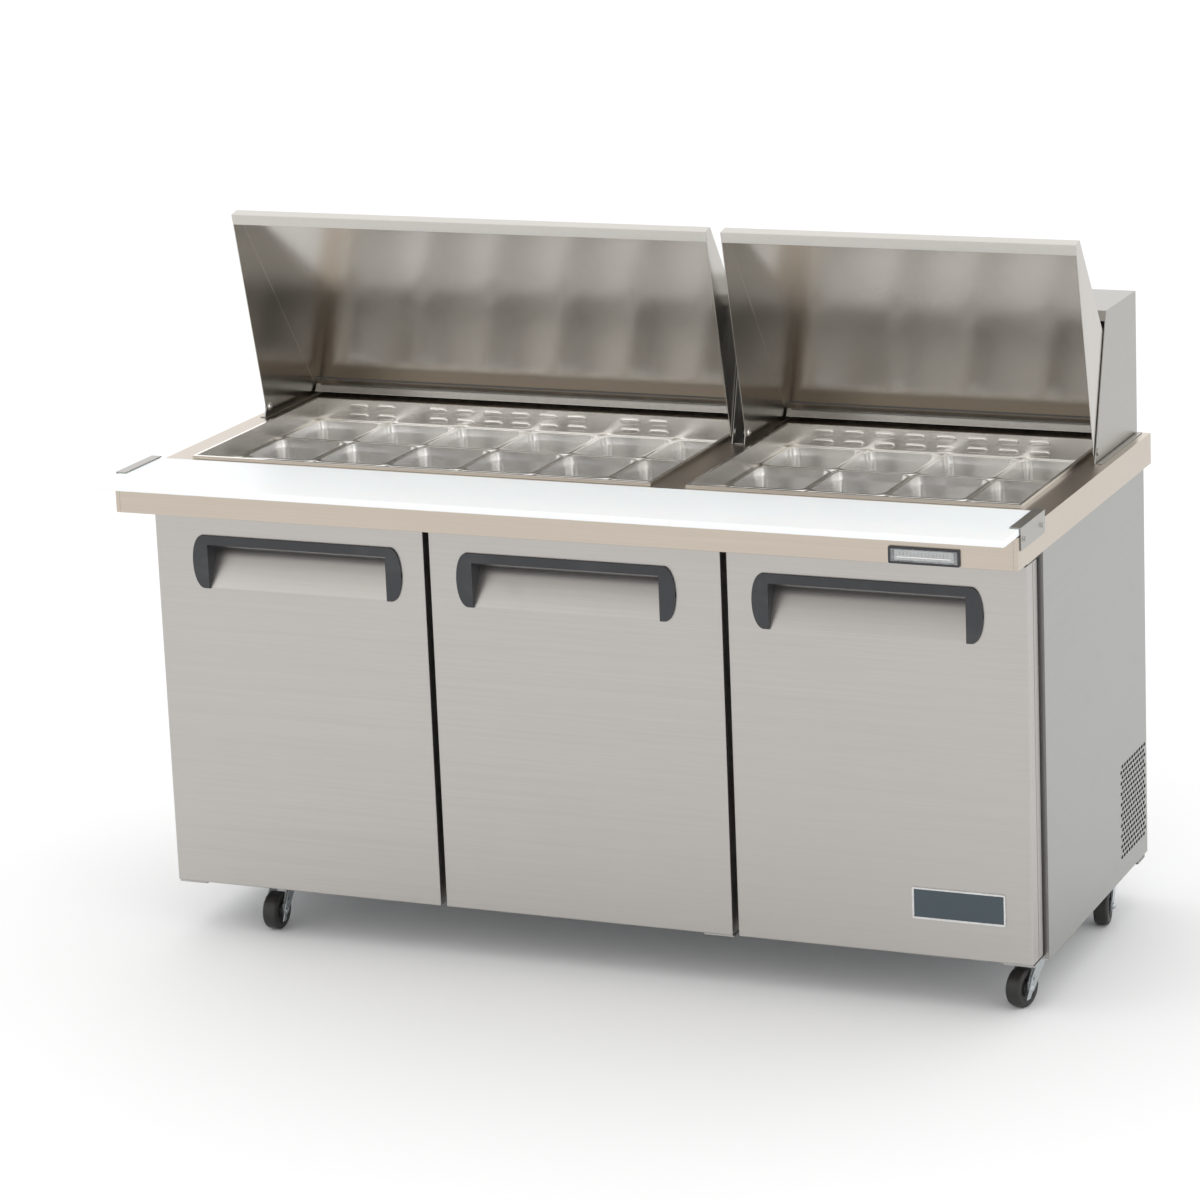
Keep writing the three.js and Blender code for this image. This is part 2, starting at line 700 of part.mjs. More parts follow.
// ---------------------------------------------------------------- small fittings

function makeThermometer() {
  const front = topFront - 0.3;
  const frame = block([677, 814], [front - 4, front], [902.5, 934.5]);
  const windowHollow = block([684, 807], [front - 6, front - 2], [907.5, 929.5]);
  addPart('thermometer', cut(frame, windowHollow), 'blackEnamel');
}

function makePowerGland() {
  const gland = join(
    cylinder('y', 14, [-760, rear - 9, 140], 6, 12),
    cylinder('y', 10, [-760, rear - 5, 140], 9, 12),
  );
  addPart('power_gland', gland, 'blackRubber');
}

makeBase();
makeSidePanels();
makeBackPanels();
makeCabinetWalls();
makeFrontFrame();
makeCountertop();
makeBoard();
for (const side of ['left', 'right']) {
  makeWell(side);
  makePans(side);
  makeHood(side);
  makeLid(side);
}
for (const side of ['left', 'middle', 'right']) {
  const door = makeDoor(side);
  makeHinges(side);
  if (side === 'right') {
    makeNamePlate(door);
  }
}
makeShelf('left_shelf', -862, -335);
makeShelf('middle_shelf', -325, 322);
makeShelf('right_shelf', 332, 862);
makeCondensingUnit();
makeEvaporator();
for (const [name, caster] of Object.entries(casters)) {
  makeCaster(name + '_caster', caster);
}
makeThermometer();
makePowerGland();

export default table;
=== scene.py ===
"""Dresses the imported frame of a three-door refrigerated sandwich table.

Each sub-assembly is a class that models its own pieces and rides them on the frame's bodies.
Sizes are in millimetres in the table's own frame: the origin is on the floor under its
middle, x runs to its right, y to its back and z up. Blender's own calls get metres.
"""

import logging
import math
from contextlib import contextmanager
from dataclasses import dataclass
from enum import Enum
from typing import Callable, Iterator, Sequence, Union

import bmesh
import bpy
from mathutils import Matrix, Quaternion, Vector


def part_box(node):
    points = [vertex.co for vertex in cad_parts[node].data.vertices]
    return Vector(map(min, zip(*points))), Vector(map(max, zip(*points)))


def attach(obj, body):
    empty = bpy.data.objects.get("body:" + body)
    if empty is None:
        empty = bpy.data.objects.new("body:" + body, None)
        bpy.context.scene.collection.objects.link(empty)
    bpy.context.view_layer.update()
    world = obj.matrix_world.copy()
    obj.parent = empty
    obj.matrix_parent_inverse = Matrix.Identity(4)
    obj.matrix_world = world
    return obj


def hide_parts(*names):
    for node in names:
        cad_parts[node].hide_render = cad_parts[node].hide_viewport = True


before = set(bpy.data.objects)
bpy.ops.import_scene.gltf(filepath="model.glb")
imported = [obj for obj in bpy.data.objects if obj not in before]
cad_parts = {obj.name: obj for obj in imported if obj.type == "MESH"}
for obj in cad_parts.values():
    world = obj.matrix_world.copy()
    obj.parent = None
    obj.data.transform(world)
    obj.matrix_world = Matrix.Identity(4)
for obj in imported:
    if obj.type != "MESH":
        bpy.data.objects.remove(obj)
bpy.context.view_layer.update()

log = logging.getLogger("sandwich_table")
MM = 0.001
Triple = tuple[float, float, float]
Piece = bpy.types.Object


# ---------------------------------------------------------------- shader arithmetic


class Wire:
    """A shader socket that takes part in Python's arithmetic."""

    def __init__(self, recipe: "Recipe", socket: bpy.types.NodeSocket) -> None:
        """Keeps the recipe that owns the socket."""
        self.recipe = recipe
        self.socket = socket

    def _math(self, operation: str, *values: "Number") -> "Wire":
        """Adds one Math node on these values."""
        inputs = dict(enumerate(values))
        return self.recipe.node("ShaderNodeMath", {"operation": operation}, inputs)

    def __add__(self, other: "Number") -> "Wire":
        """self + other."""
        return self._math("ADD", self, other)

    __radd__ = __add__

    def __sub__(self, other: "Number") -> "Wire":
        """self - other."""
        return self._math("SUBTRACT", self, other)

    def __rsub__(self, other: "Number") -> "Wire":
        """other - self."""
        return self._math("SUBTRACT", other, self)

    def __mul__(self, other: "Number") -> "Wire":
        """self * other."""
        return self._math("MULTIPLY", self, other)

    __rmul__ = __mul__

    def step(self, low: float, high: float) -> "Wire":
        """A smooth rise from 0 at low to 1 at high."""
        return self.recipe.node(
            "ShaderNodeMapRange",
            {"interpolation_type": "SMOOTHSTEP"},
            {"Value": self, "From Min": low, "From Max": high},
        )


Number = Union[Wire, float]


class Recipe:
    """One material's node tree, with a Principled shader to feed."""

    def __init__(self, name: str) -> None:
        """Starts a material.

        Args:
            name: the material's name.
        """
        self.material = bpy.data.materials.new(name)
        self.material.use_nodes = True
        self.tree = self.material.node_tree
        self.shader = self.tree.nodes["Principled BSDF"]
        self.place = self.node("ShaderNodeTexCoord", {}, {}, "Object")

    def feed(self, socket: bpy.types.NodeSocket, value: object) -> None:
        """Links a wire to a socket, or sets the socket to a plain value.

        Args:
            socket: the input to feed.
            value: a wire, a number, a vector or a colour.
        """
        if isinstance(value, Wire):
            self.tree.links.new(value.socket, socket)
        else:
            socket.default_value = value

    def node(self, kind: str, settings: dict, inputs: dict, output: Union[int, str] = 0) -> Wire:
        """Adds a node.

        Args:
            kind: the node's type name.
            settings: properties that are set first.
            inputs: values or wires by socket name or number.
            output: which output to return.

        Returns:
            The chosen output.
        """
        made = self.tree.nodes.new(kind)
        for key, value in settings.items():
            setattr(made, key, value)
        for key, value in inputs.items():
            self.feed(made.inputs[key], value)
        return Wire(self, made.outputs[output])

    def noise(self, scale: Triple, detail: float = 2.0, roughness: float = 0.5) -> Wire:
        """A noise in object space.

        Args:
            scale: how fine it is along each axis, per metre.
            detail: how many finer layers it has.
            roughness: how strong the finer layers are.

        Returns:
            The noise, from 0 to 1.
        """
        stretched = {"Vector": self.place, "Scale": scale}
        place = self.node("ShaderNodeMapping", {}, stretched, "Vector")
        return self.node(
            "ShaderNodeTexNoise",
            {},
            {"Vector": place, "Scale": 1.0, "Detail": detail, "Roughness": roughness},
        )

    def blend(self, factor: Number, first: object, second: object) -> Wire:
        """Mixes two colours, from the first at 0 to the second at 1."""
        inputs = {0: factor, 6: first, 7: second}
        return self.node("ShaderNodeMix", {"data_type": "RGBA"}, inputs, 2)

    def bump(self, height: Wire, strength: float, distance: float) -> None:
        """Feeds the shader's Normal from a height.

        Args:
            height: the relief, from 0 to 1.
            strength: how much of it shows.
            distance: its full depth in metres.
        """
        made = self.node(
            "ShaderNodeBump", {}, {"Strength": strength, "Distance": distance, "Height": height}
        )
        self.feed(self.shader.inputs["Normal"], made)

    def set(self, **values: object) -> None:
        """Sets or links the shader's sockets; an underscore stands for a space."""
        for key, value in values.items():
            self.feed(self.shader.inputs[key.replace("_", " ")], value)


def shade(colour: Triple, factor: float) -> tuple[float, float, float, float]:
    """A colour made lighter or darker, with its alpha."""
    return (*(min(1.0, channel * factor) for channel in colour), 1.0)


class Grain(Enum):
    """Which way a sheet was brushed, as noise scales per metre."""

    LEVEL = (5.0, 5.0, 900.0)
    ALONG_X = (5.0, 900.0, 900.0)
    UPRIGHT = (900.0, 900.0, 5.0)


@dataclass(frozen=True)
class BrushedSheet:
    """Brushed or polished sheet metal."""

    slot: str
    colour: Triple
    roughness: float
    grain: Grain = Grain.LEVEL
    contrast: float = 0.07
    uneven: float = 0.05
    brush: float = 0.10

    def material(self, name: str) -> bpy.types.Material:
        """Builds the material.

        Args:
            name: the material's name.

        Returns:
            The new material.
        """
        recipe = Recipe(name)
        fine = recipe.noise(self.grain.value, 3.0, 0.6)
        broad = recipe.noise(tuple(axis * 0.16 for axis in self.grain.value), 2.0)
        cloud = recipe.noise((2.2, 2.2, 1.7), 3.0, 0.55)
        smudge = recipe.noise((14.0, 14.0, 14.0), 4.0, 0.6).step(0.56, 0.8)
        streak = fine * 0.65 + broad * 0.35
        tone = recipe.blend(
            streak.step(0.25, 0.75),
            shade(self.colour, 1 - self.contrast),
            shade(self.colour, 1 + self.contrast),
        )
        pale = shade(self.colour, 1 + self.contrast / 2)
        tone = recipe.blend(cloud.step(0.3, 0.7) * 0.5, tone, pale)
        recipe.set(
            Base_Color=tone,
            Metallic=1.0,
            Roughness=streak * self.uneven + smudge * 0.04 + (self.roughness - self.uneven / 2),
        )
        recipe.bump(streak, self.brush, 0.0001)
        return recipe.material


@dataclass(frozen=True)
class ZincCoat:
    """Galvanised or zinc-plated steel, with its spangle."""

    slot: str
    colour: Triple
    roughness: float
    spangle: float = 90.0

    def material(self, name: str) -> bpy.types.Material:
        """Builds the material.

        Args:
            name: the material's name.

        Returns:
            The new material.
        """
        recipe = Recipe(name)
        warp = recipe.noise((30.0, 30.0, 30.0), 2.0)
        place = recipe.node(
            "ShaderNodeVectorMath", {"operation": "ADD"}, {0: recipe.place, 1: (0.01, 0.02, 0.0)}
        )
        cells = recipe.node(
            "ShaderNodeTexVoronoi", {}, {"Vector": place, "Scale": self.spangle}, "Color"
        )
        flake = recipe.node("ShaderNodeSeparateColor", {}, {"Color": cells})
        dirt = recipe.noise((9.0, 9.0, 6.0), 4.0, 0.65).step(0.5, 0.85)
        dark, light = shade(self.colour, 0.86), shade(self.colour, 1.12)
        tone = recipe.blend(flake * 0.6 + warp * 0.4, dark, light)
        tone = recipe.blend(dirt * 0.35, tone, shade(self.colour, 0.6))
        worn = flake * 0.14 + dirt * 0.1 + self.roughness
        recipe.set(Base_Color=tone, Metallic=1.0, Roughness=worn)
        recipe.bump(flake, 0.05, 0.0003)
        return recipe.material


@dataclass(frozen=True)
class Moulding:
    """Plastic, rubber, paint or enamel."""

    slot: str
    colour: Triple
    roughness: float
    dust: Triple = (0.5, 0.5, 0.48)
    dusting: float = 0.06
    texture: float = 900.0
    relief: float = 0.15
    coat: float = 0.0

    def material(self, name: str) -> bpy.types.Material:
        """Builds the material.

        Args:
            name: the material's name.

        Returns:
            The new material.
        """
        recipe = Recipe(name)
        pebble = recipe.noise((self.texture,) * 3, 2.0, 0.55)
        cloud = recipe.noise((7.0, 7.0, 9.0), 4.0, 0.6)
        settled = cloud.step(0.48, 0.8)
        tone = recipe.blend(pebble, shade(self.colour, 0.9), shade(self.colour, 1.1))
        tone = recipe.blend(settled * self.dusting, tone, shade(self.dust, 1.0))
        recipe.set(
            Base_Color=tone,
            Metallic=0.0,
            Roughness=pebble * 0.08 + settled * 0.1 + (self.roughness - 0.06),
            Coat_Weight=self.coat,
        )
        recipe.bump(pebble, self.relief, 0.0002)
        return recipe.material


@dataclass(frozen=True)
class Polyethylene:
    """A cutting board's milky plastic, with the planer's faint marks and a few knife lines."""

    slot: str
    colour: Triple
    roughness: float

    def material(self, name: str) -> bpy.types.Material:
        """Builds the material.

        Args:
            name: the material's name.

        Returns:
            The new material.
        """
        recipe = Recipe(name)
        planed = recipe.noise((8.0, 420.0, 300.0), 2.0)
        cloud = recipe.noise((5.0, 7.0, 5.0), 3.0)
        cuts = recipe.noise((70.0, 900.0, 20.0), 1.0).step(0.70, 0.76)
        tone = recipe.blend(cloud, shade(self.colour, 0.985), shade(self.colour, 1.02))
        tone = recipe.blend(cuts * 0.12, tone, shade(self.colour, 0.88))
        recipe.set(
            Base_Color=tone,
            Metallic=0.0,
            Roughness=planed * 0.1 + cloud * 0.06 + (self.roughness - 0.08),
            Subsurface_Weight=0.15,
        )
        recipe.bump(planed - cuts * 0.6, 0.08, 0.0002)
        return recipe.material


@dataclass(frozen=True)
class ClearPane:
    """Clear moulded plastic with a film of dust."""

    slot: str
    roughness: float = 0.08

    def material(self, name: str) -> bpy.types.Material:
        """Builds the material.

        Args:
            name: the material's name.

        Returns:
            The new material.
        """
        recipe = Recipe(name)
        film = recipe.noise((40.0, 40.0, 90.0), 4.0, 0.6).step(0.4, 0.8)
        recipe.set(
            Base_Color=recipe.blend(film, (0.80, 0.82, 0.82, 1.0), (0.9, 0.9, 0.9, 1.0)),
            Roughness=film * 0.2 + self.roughness,
            Alpha=film * 0.12 + 0.16,
        )
        return recipe.material


class Finish(Enum):
    """Every finish on the table."""

    DOOR_STEEL = BrushedSheet("brushed_steel", (0.48, 0.46, 0.437), 0.34, contrast=0.05)
    SIDE_STEEL = BrushedSheet("brushed_steel", (0.37, 0.37, 0.355), 0.36, contrast=0.045)
    HOOD_STEEL = BrushedSheet("brushed_steel", (0.385, 0.376, 0.352), 0.32, contrast=0.05)
    LID_STEEL = BrushedSheet(
        "brushed_steel", (0.53, 0.508, 0.475), 0.19, Grain.UPRIGHT, contrast=0.05, brush=0.06
    )
    TOP_STEEL = BrushedSheet(
        "warm_steel", (0.535, 0.472, 0.402), 0.30, Grain.ALONG_X, contrast=0.05
    )
    BRIGHT_STEEL = BrushedSheet(
        "polished_steel", (0.90, 0.89, 0.875), 0.24, contrast=0.02, uneven=0.03, brush=0.0
    )
    WELL_STEEL = BrushedSheet(
        "polished_steel", (0.86, 0.835, 0.79), 0.22, contrast=0.03, uneven=0.03, brush=0.02
    )
    # The door frame's own steel; on the apron seam strips its darker tone is painted shade.
    FRAME_STEEL_AND_SEAM_SHADE = BrushedSheet("brushed_steel", (0.40, 0.39, 0.375), 0.38, Grain.UPRIGHT)
    FOLDED_STEEL = BrushedSheet("zinc_plate", (0.46, 0.45, 0.43), 0.34)
    LINER = BrushedSheet("liner_aluminium", (0.62, 0.62, 0.61), 0.42, Grain.ALONG_X, contrast=0.05)
    FIN = BrushedSheet("liner_aluminium", (0.48, 0.48, 0.47), 0.45, Grain.UPRIGHT)
    COPPER = BrushedSheet("liner_aluminium", (0.62, 0.33, 0.20), 0.35, Grain.UPRIGHT)
    GALVANISED = ZincCoat("galvanized_steel", (0.50, 0.51, 0.52), 0.38)
    ZINC = ZincCoat("zinc_plate", (0.50, 0.53, 0.54), 0.26, 300.0)
    FOAM = Moulding("insulation_foam", (0.72, 0.62, 0.40), 0.9, texture=260.0, relief=0.6)
    BOARD = Polyethylene("white_board", (0.90, 0.905, 0.91), 0.42)
    COATED_WIRE = Moulding("shelf_coating", (0.72, 0.72, 0.70), 0.35, coat=0.3)
    CHARCOAL = Moulding("charcoal_plastic", (0.030, 0.032, 0.037), 0.46, relief=0.3)
    # Real rubber on the door gaskets; on each lid this dark colour is painted shadow along a gap.
    GASKET = Moulding("gasket_rubber", (0.10, 0.10, 0.10), 0.62)
    TREAD = Moulding("wheel_tread", (0.016, 0.015, 0.014), 0.45, dust=(0.2, 0.19, 0.18))
    HUB = Moulding("wheel_tread", (0.022, 0.021, 0.021), 0.42, dusting=0.05)
    ENAMEL = Moulding("black_enamel", (0.02, 0.02, 0.022), 0.3, coat=0.5)
    SLATE = Moulding("slate_plate", (0.036, 0.056, 0.068), 0.35, coat=0.2)
    PLATE_RIM = ZincCoat("slate_plate", (0.72, 0.72, 0.72), 0.25, 200.0)
    CLEAR = ClearPane("charcoal_plastic")
    DIAL = Moulding("charcoal_plastic", (0.42, 0.44, 0.44), 0.5, texture=300.0)


class Palette:
    """Builds each finish's material once."""

    def __init__(self) -> None:
        """Starts with no materials."""
        self.made: dict[Finish, bpy.types.Material] = {}

    def material(self, finish: Finish) -> bpy.types.Material:
        """Builds a finish's material, or finds it again.

        Args:
            finish: the finish.

        Returns:
            Its one material.
        """
        if finish not in self.made:
            self.made[finish] = finish.value.material(finish.name.lower())
        return self.made[finish]

    def coat_node(self, node: str, finish: Finish) -> None:
        """Gives a carried-over CAD node its finish.

        Args:
            node: the node's name.
            finish: the finish.
        """
        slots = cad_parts[node].data.materials
        slots.clear()
        slots.append(self.material(finish))
        log.info("%s keeps its frame mesh, in %s", node, finish.name.lower())


PALETTE = Palette()


# ---------------------------------------------------------------- the bench


class Part(Enum):
    """What a selection picks."""

    FACE = "FACE"
    EDGE = "EDGE"
    VERT = "VERT"


class Bench:
    """The modelling steps that the sub-assemblies share."""

    @staticmethod
    def take(*pieces: Piece) -> None:
        """Selects these pieces only, and makes the last one active.

        Args:
            pieces: the pieces, the active one last.
        """
        bpy.ops.object.select_all(action="DESELECT")
        for piece in pieces:
            piece.select_set(True)
        bpy.context.view_layer.objects.active = pieces[-1]

    @staticmethod
    def _started(name: str) -> Piece:
        """Names the new primitive and applies its place.

        Args:
            name: the piece's name.

        Returns:
            The piece, its object at the origin.
        """
        piece = bpy.context.active_object
        piece.name = name
        bpy.ops.object.transform_apply(location=True, rotation=True, scale=True)
        return piece

    @staticmethod
    def block(name: str, low: Sequence[float], high: Sequence[float]) -> Piece:
        """A block between two corners.

        Args:
            name: the piece's name.
            low: its lowest corner.
            high: its highest corner.

        Returns:
            The block.
        """
        a, b = Vector(low) * MM, Vector(high) * MM
        bpy.ops.object.select_all(action="DESELECT")
        bpy.ops.mesh.primitive_cube_add(size=1, location=(a + b) / 2, scale=b - a)
        return Bench._started(name)

    @staticmethod
    def rod(
        name: str,
        centre: Sequence[float],
        radius: float,
        length: float,
        turn: Triple = (0.0, 0.0, 0.0),
        sides: int = 32,
    ) -> Piece:
        """A cylinder, upright until it is turned.

        Args:
            name: the piece's name.
            centre: its middle.
            radius: its radius.
            length: its length.
            turn: the angles about x, y and z, in degrees.
            sides: how many sides it has.

        Returns:
            The cylinder.
        """
        bpy.ops.object.select_all(action="DESELECT")
        bpy.ops.mesh.primitive_cylinder_add(
            vertices=sides,
            radius=radius * MM,
            depth=length * MM,
            location=Vector(centre) * MM,
            rotation=tuple(math.radians(angle) for angle in turn),
        )
        return Bench._started(name)

    @staticmethod
    @contextmanager
    def editing(piece: Piece) -> Iterator[Piece]:
        """Edit mode on one piece.

        Args:
            piece: the piece to edit.

        Returns:
            The piece, while the block runs.
        """
        Bench.take(piece)
        bpy.ops.object.mode_set(mode="EDIT")
        try:
            yield piece
        finally:
            bpy.ops.object.mode_set(mode="OBJECT")

    @staticmethod
    def pick(piece: Piece, part: Part, test: Callable[..., bool]) -> None:
        """Selects parts of the piece in edit mode.

        Args:
            piece: the piece being edited.
            part: faces, edges or corners.
            test: gets a face's centre and normal, an edge's two ends, or a corner's place.
        """
        bpy.ops.mesh.select_mode(type=part.value)
        bpy.ops.mesh.select_all(action="DESELECT")
        shape = bmesh.from_edit_mesh(piece.data)
        if part is Part.FACE:
            chosen = [f for f in shape.faces if test(f.calc_center_median() / MM, f.normal)]
        elif part is Part.EDGE:
            chosen = [e for e in shape.edges if test(e.verts[0].co / MM, e.verts[1].co / MM)]
        else:
            chosen = [v for v in shape.verts if test(v.co / MM)]
        for element in chosen:
            element.select_set(True)
        shape.select_flush_mode()
        bmesh.update_edit_mesh(piece.data)

    @staticmethod
    def push(x: float = 0.0, y: float = 0.0, z: float = 0.0) -> None:
        """Moves what is selected."""
        bpy.ops.transform.translate(value=(x * MM, y * MM, z * MM))

    @staticmethod
    def pull(x: float = 0.0, y: float = 0.0, z: float = 0.0) -> None:
        """Extrudes what is selected."""
        bpy.ops.mesh.extrude_region_move(TRANSFORM_OT_translate={"value": (x * MM, y * MM, z * MM)})

    @staticmethod
    def stretch(factors: Triple, centre: Sequence[float]) -> None:
        """Scales what is selected about a point."""
        bpy.ops.transform.resize(value=factors, center_override=Vector(centre) * MM)

    @staticmethod
    def round_off(width: float, segments: int = 3) -> None:
        """Bevels the selected edges."""
        bpy.ops.mesh.bevel(offset=width * MM, segments=segments, affect="EDGES")

    @staticmethod
    def score(point: Sequence[float], normal: Triple, cut_away: bool = False) -> None:
        """Bisects the whole mesh by a plane.

        Args:
            point: a point on the plane.
            normal: the plane's direction.
            cut_away: whether to remove what lies beyond and close the cut.
        """
        bpy.ops.mesh.select_all(action="SELECT")
        bpy.ops.mesh.bisect(
            plane_co=Vector(point) * MM, plane_no=normal, use_fill=cut_away, clear_outer=cut_away
        )

    @staticmethod
    def modify(piece: Piece, kind: str, **settings: object) -> None:
        """Applies one modifier.

        Args:
            piece: the piece to change.
            kind: the modifier's type name.
            settings: its settings.
        """
        modifier = piece.modifiers.new("shape", kind)
        for key, value in settings.items():
            setattr(modifier, key, value)
        Bench.take(piece)
        bpy.ops.object.modifier_apply(modifier=modifier.name)

    @staticmethod
    def subtract(piece: Piece, cutter: Piece) -> None:
        """Cuts a piece by a cutter, which is used up."""
        Bench.modify(piece, "BOOLEAN", object=cutter, operation="DIFFERENCE", solver="EXACT")
        bpy.data.objects.remove(cutter)

    @staticmethod
    def repeat(piece: Piece, count: int, x: float = 0.0, y: float = 0.0, z: float = 0.0) -> None:
        """Repeats a piece along a line.

        Args:
            piece: the piece, which becomes the whole row.
            count: how many there are in the end.
            x: the step along x.
            y: the step along y.
            z: the step along z.
        """
        Bench.modify(
            piece,
            "ARRAY",
            count=count,
            use_relative_offset=False,
            use_constant_offset=True,
            constant_offset_displace=(x * MM, y * MM, z * MM),
        )

    @staticmethod
    def soften(piece: Piece, width: float, segments: int = 2, angle: float = 30.0) -> None:
        """Rounds every edge sharper than an angle.

        Args:
            piece: the piece to change.
            width: the bevel's width.
            segments: how many steps it has.
            angle: the angle in degrees.
        """
        Bench.modify(
            piece,
            "BEVEL",
            width=width * MM,
            segments=segments,
            limit_method="ANGLE",
            angle_limit=math.radians(angle),
        )

    @staticmethod
    def join(name: str, *pieces: Piece) -> Piece:
        """Joins pieces into the last one.

        Args:
            name: the joined piece's name.
            pieces: the pieces.

        Returns:
            The joined piece.
        """
        Bench.take(*pieces)
        bpy.ops.object.join()
        pieces[-1].name = name
        return pieces[-1]

    @staticmethod
    def copy(piece: Piece, name: str, x: float = 0.0, y: float = 0.0, z: float = 0.0) -> Piece:
        """Copies a piece, and moves the copy in its mesh.

        Args:
            piece: the piece to copy.
            name: the copy's name.
            x: how far it moves along x.
            y: how far it moves along y.
            z: how far it moves along z.

        Returns:
            The copy, with a mesh of its own.
        """
        Bench.take(piece)
        bpy.ops.object.duplicate(linked=False)
        made = bpy.context.active_object
        made.name = name
        for key in [key for key in made.keys() if key.startswith("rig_")]:
            del made[key]
        made.parent = None
        Bench.push(x, y, z)
        bpy.ops.object.transform_apply(location=True, rotation=True, scale=True)
        return made

    @staticmethod
    def from_node(node: str, name: str, width: float, segments: int = 2) -> Piece:
        """Copies a CAD node, merges its mesh and rounds its sharp edges.

        Args:
            node: the node's name.
            name: the piece's name.
            width: the bevel's width.
            segments: how many steps it has.

        Returns:
            The piece.
        """
        piece = Bench.copy(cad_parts[node], name)
        with Bench.editing(piece):
            bpy.ops.mesh.select_all(action="SELECT")
            bpy.ops.mesh.remove_doubles(threshold=0.000005)
            bpy.ops.mesh.dissolve_limited(angle_limit=math.radians(0.4))
        Bench.soften(piece, width, segments)
        return piece

    @staticmethod
    def turn(piece: Piece, degrees: float, axis: str, about: Sequence[float]) -> None:
        """Turns a whole piece about a point.

        Args:
            piece: the piece to turn.
            degrees: the angle.
            axis: the axis's letter.
            about: the point.
        """
        with Bench.editing(piece):
            bpy.ops.mesh.select_all(action="SELECT")
            bpy.ops.transform.rotate(
                value=math.radians(degrees), orient_axis=axis, center_override=Vector(about) * MM
            )

    @staticmethod
    def settle(
        piece: Piece,
        body: str,
        finish: Finish,
        replaces: Sequence[str] = (),
        smooth: float = 38.0,
        weighted: bool = True,
    ) -> Piece:
        """Finishes a piece.

        Args:
            piece: the piece.
            body: the body it rides on.
            finish: its finish.
            replaces: the CAD nodes it stands for.
            smooth: the angle in degrees up to which its shading is smooth.
            weighted: whether its large faces keep flat shading.

        Returns:
            The same piece.
        """
        Bench.take(piece)
        bpy.ops.object.transform_apply(location=True, rotation=True, scale=True)
        bpy.ops.object.shade_smooth_by_angle(angle=math.radians(smooth))
        if weighted:
            Bench.modify(piece, "WEIGHTED_NORMAL", keep_sharp=True)
        piece.data.materials.clear()
        piece.data.materials.append(PALETTE.material(finish))
        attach(piece, body)
        if replaces:
            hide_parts(*replaces)
        log.info("%s rides on %s, in %s", piece.name, body, finish.name.lower())
        return piece

    @staticmethod
    def dress(
        node: str,
        name: str,
        body: str,
        finish: Finish,
        width: float,
        segments: int = 2,
        smooth: float = 38.0,
    ) -> Piece:
        """Finishes a softened copy of a CAD node in the node's place.

        Args:
            node: the node's name.
            name: the piece's name.
            body: the body it rides on.
            finish: its finish.
            width: the bevel's width.
            segments: how many steps it has.
            smooth: the angle in degrees up to which its shading is smooth.

        Returns:
            The piece.
        """
        piece = Bench.from_node(node, name, width, segments)
        return Bench.settle(piece, body, finish, [node], smooth)

    @staticmethod
    def dome(
        name: str, centre: Sequence[float], radius: float, height: float, turn: Triple
    ) -> Piece:
        """A domed bolt head on a washer, upright until it is turned.

        Args:
            name: the piece's name.
            centre: the middle of the washer's seat.
            radius: the head's radius.
            height: the head's height.
            turn: the angles about x, y and z, in degrees.

        Returns:
            The bolt head.
        """
        bpy.ops.object.select_all(action="DESELECT")
        bpy.ops.mesh.primitive_uv_sphere_add(segments=20, ring_count=12, radius=radius * MM)
        head = Bench._started(name)
        with Bench.editing(head):
            bpy.ops.mesh.select_all(action="SELECT")
            bpy.ops.mesh.bisect(
                plane_co=(0, 0, 0), plane_no=(0, 0, -1), use_fill=True, clear_outer=True
            )
            bpy.ops.mesh.select_all(action="SELECT")
            Bench.stretch((1, 1, (height - 0.6) / radius), (0, 0, 0))
            Bench.push(z=0.6)
        washer = Bench.rod(name + "_washer", (0, 0, 0.4), radius * 1.25, 0.8, sides=24)
        Bench.soften(washer, 0.25)
        made = Bench.join(name, washer, head)
        made.location = Vector(centre) * MM
        made.rotation_euler = tuple(math.radians(angle) for angle in turn)
        Bench.take(made)
        bpy.ops.object.transform_apply(location=True, rotation=True, scale=True)
        return made


def box_of(node: str) -> tuple[Vector, Vector]:
    """A CAD node's lowest and highest corner."""
    low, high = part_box(node)
    return low / MM, high / MM


# ---------------------------------------------------------------- studio


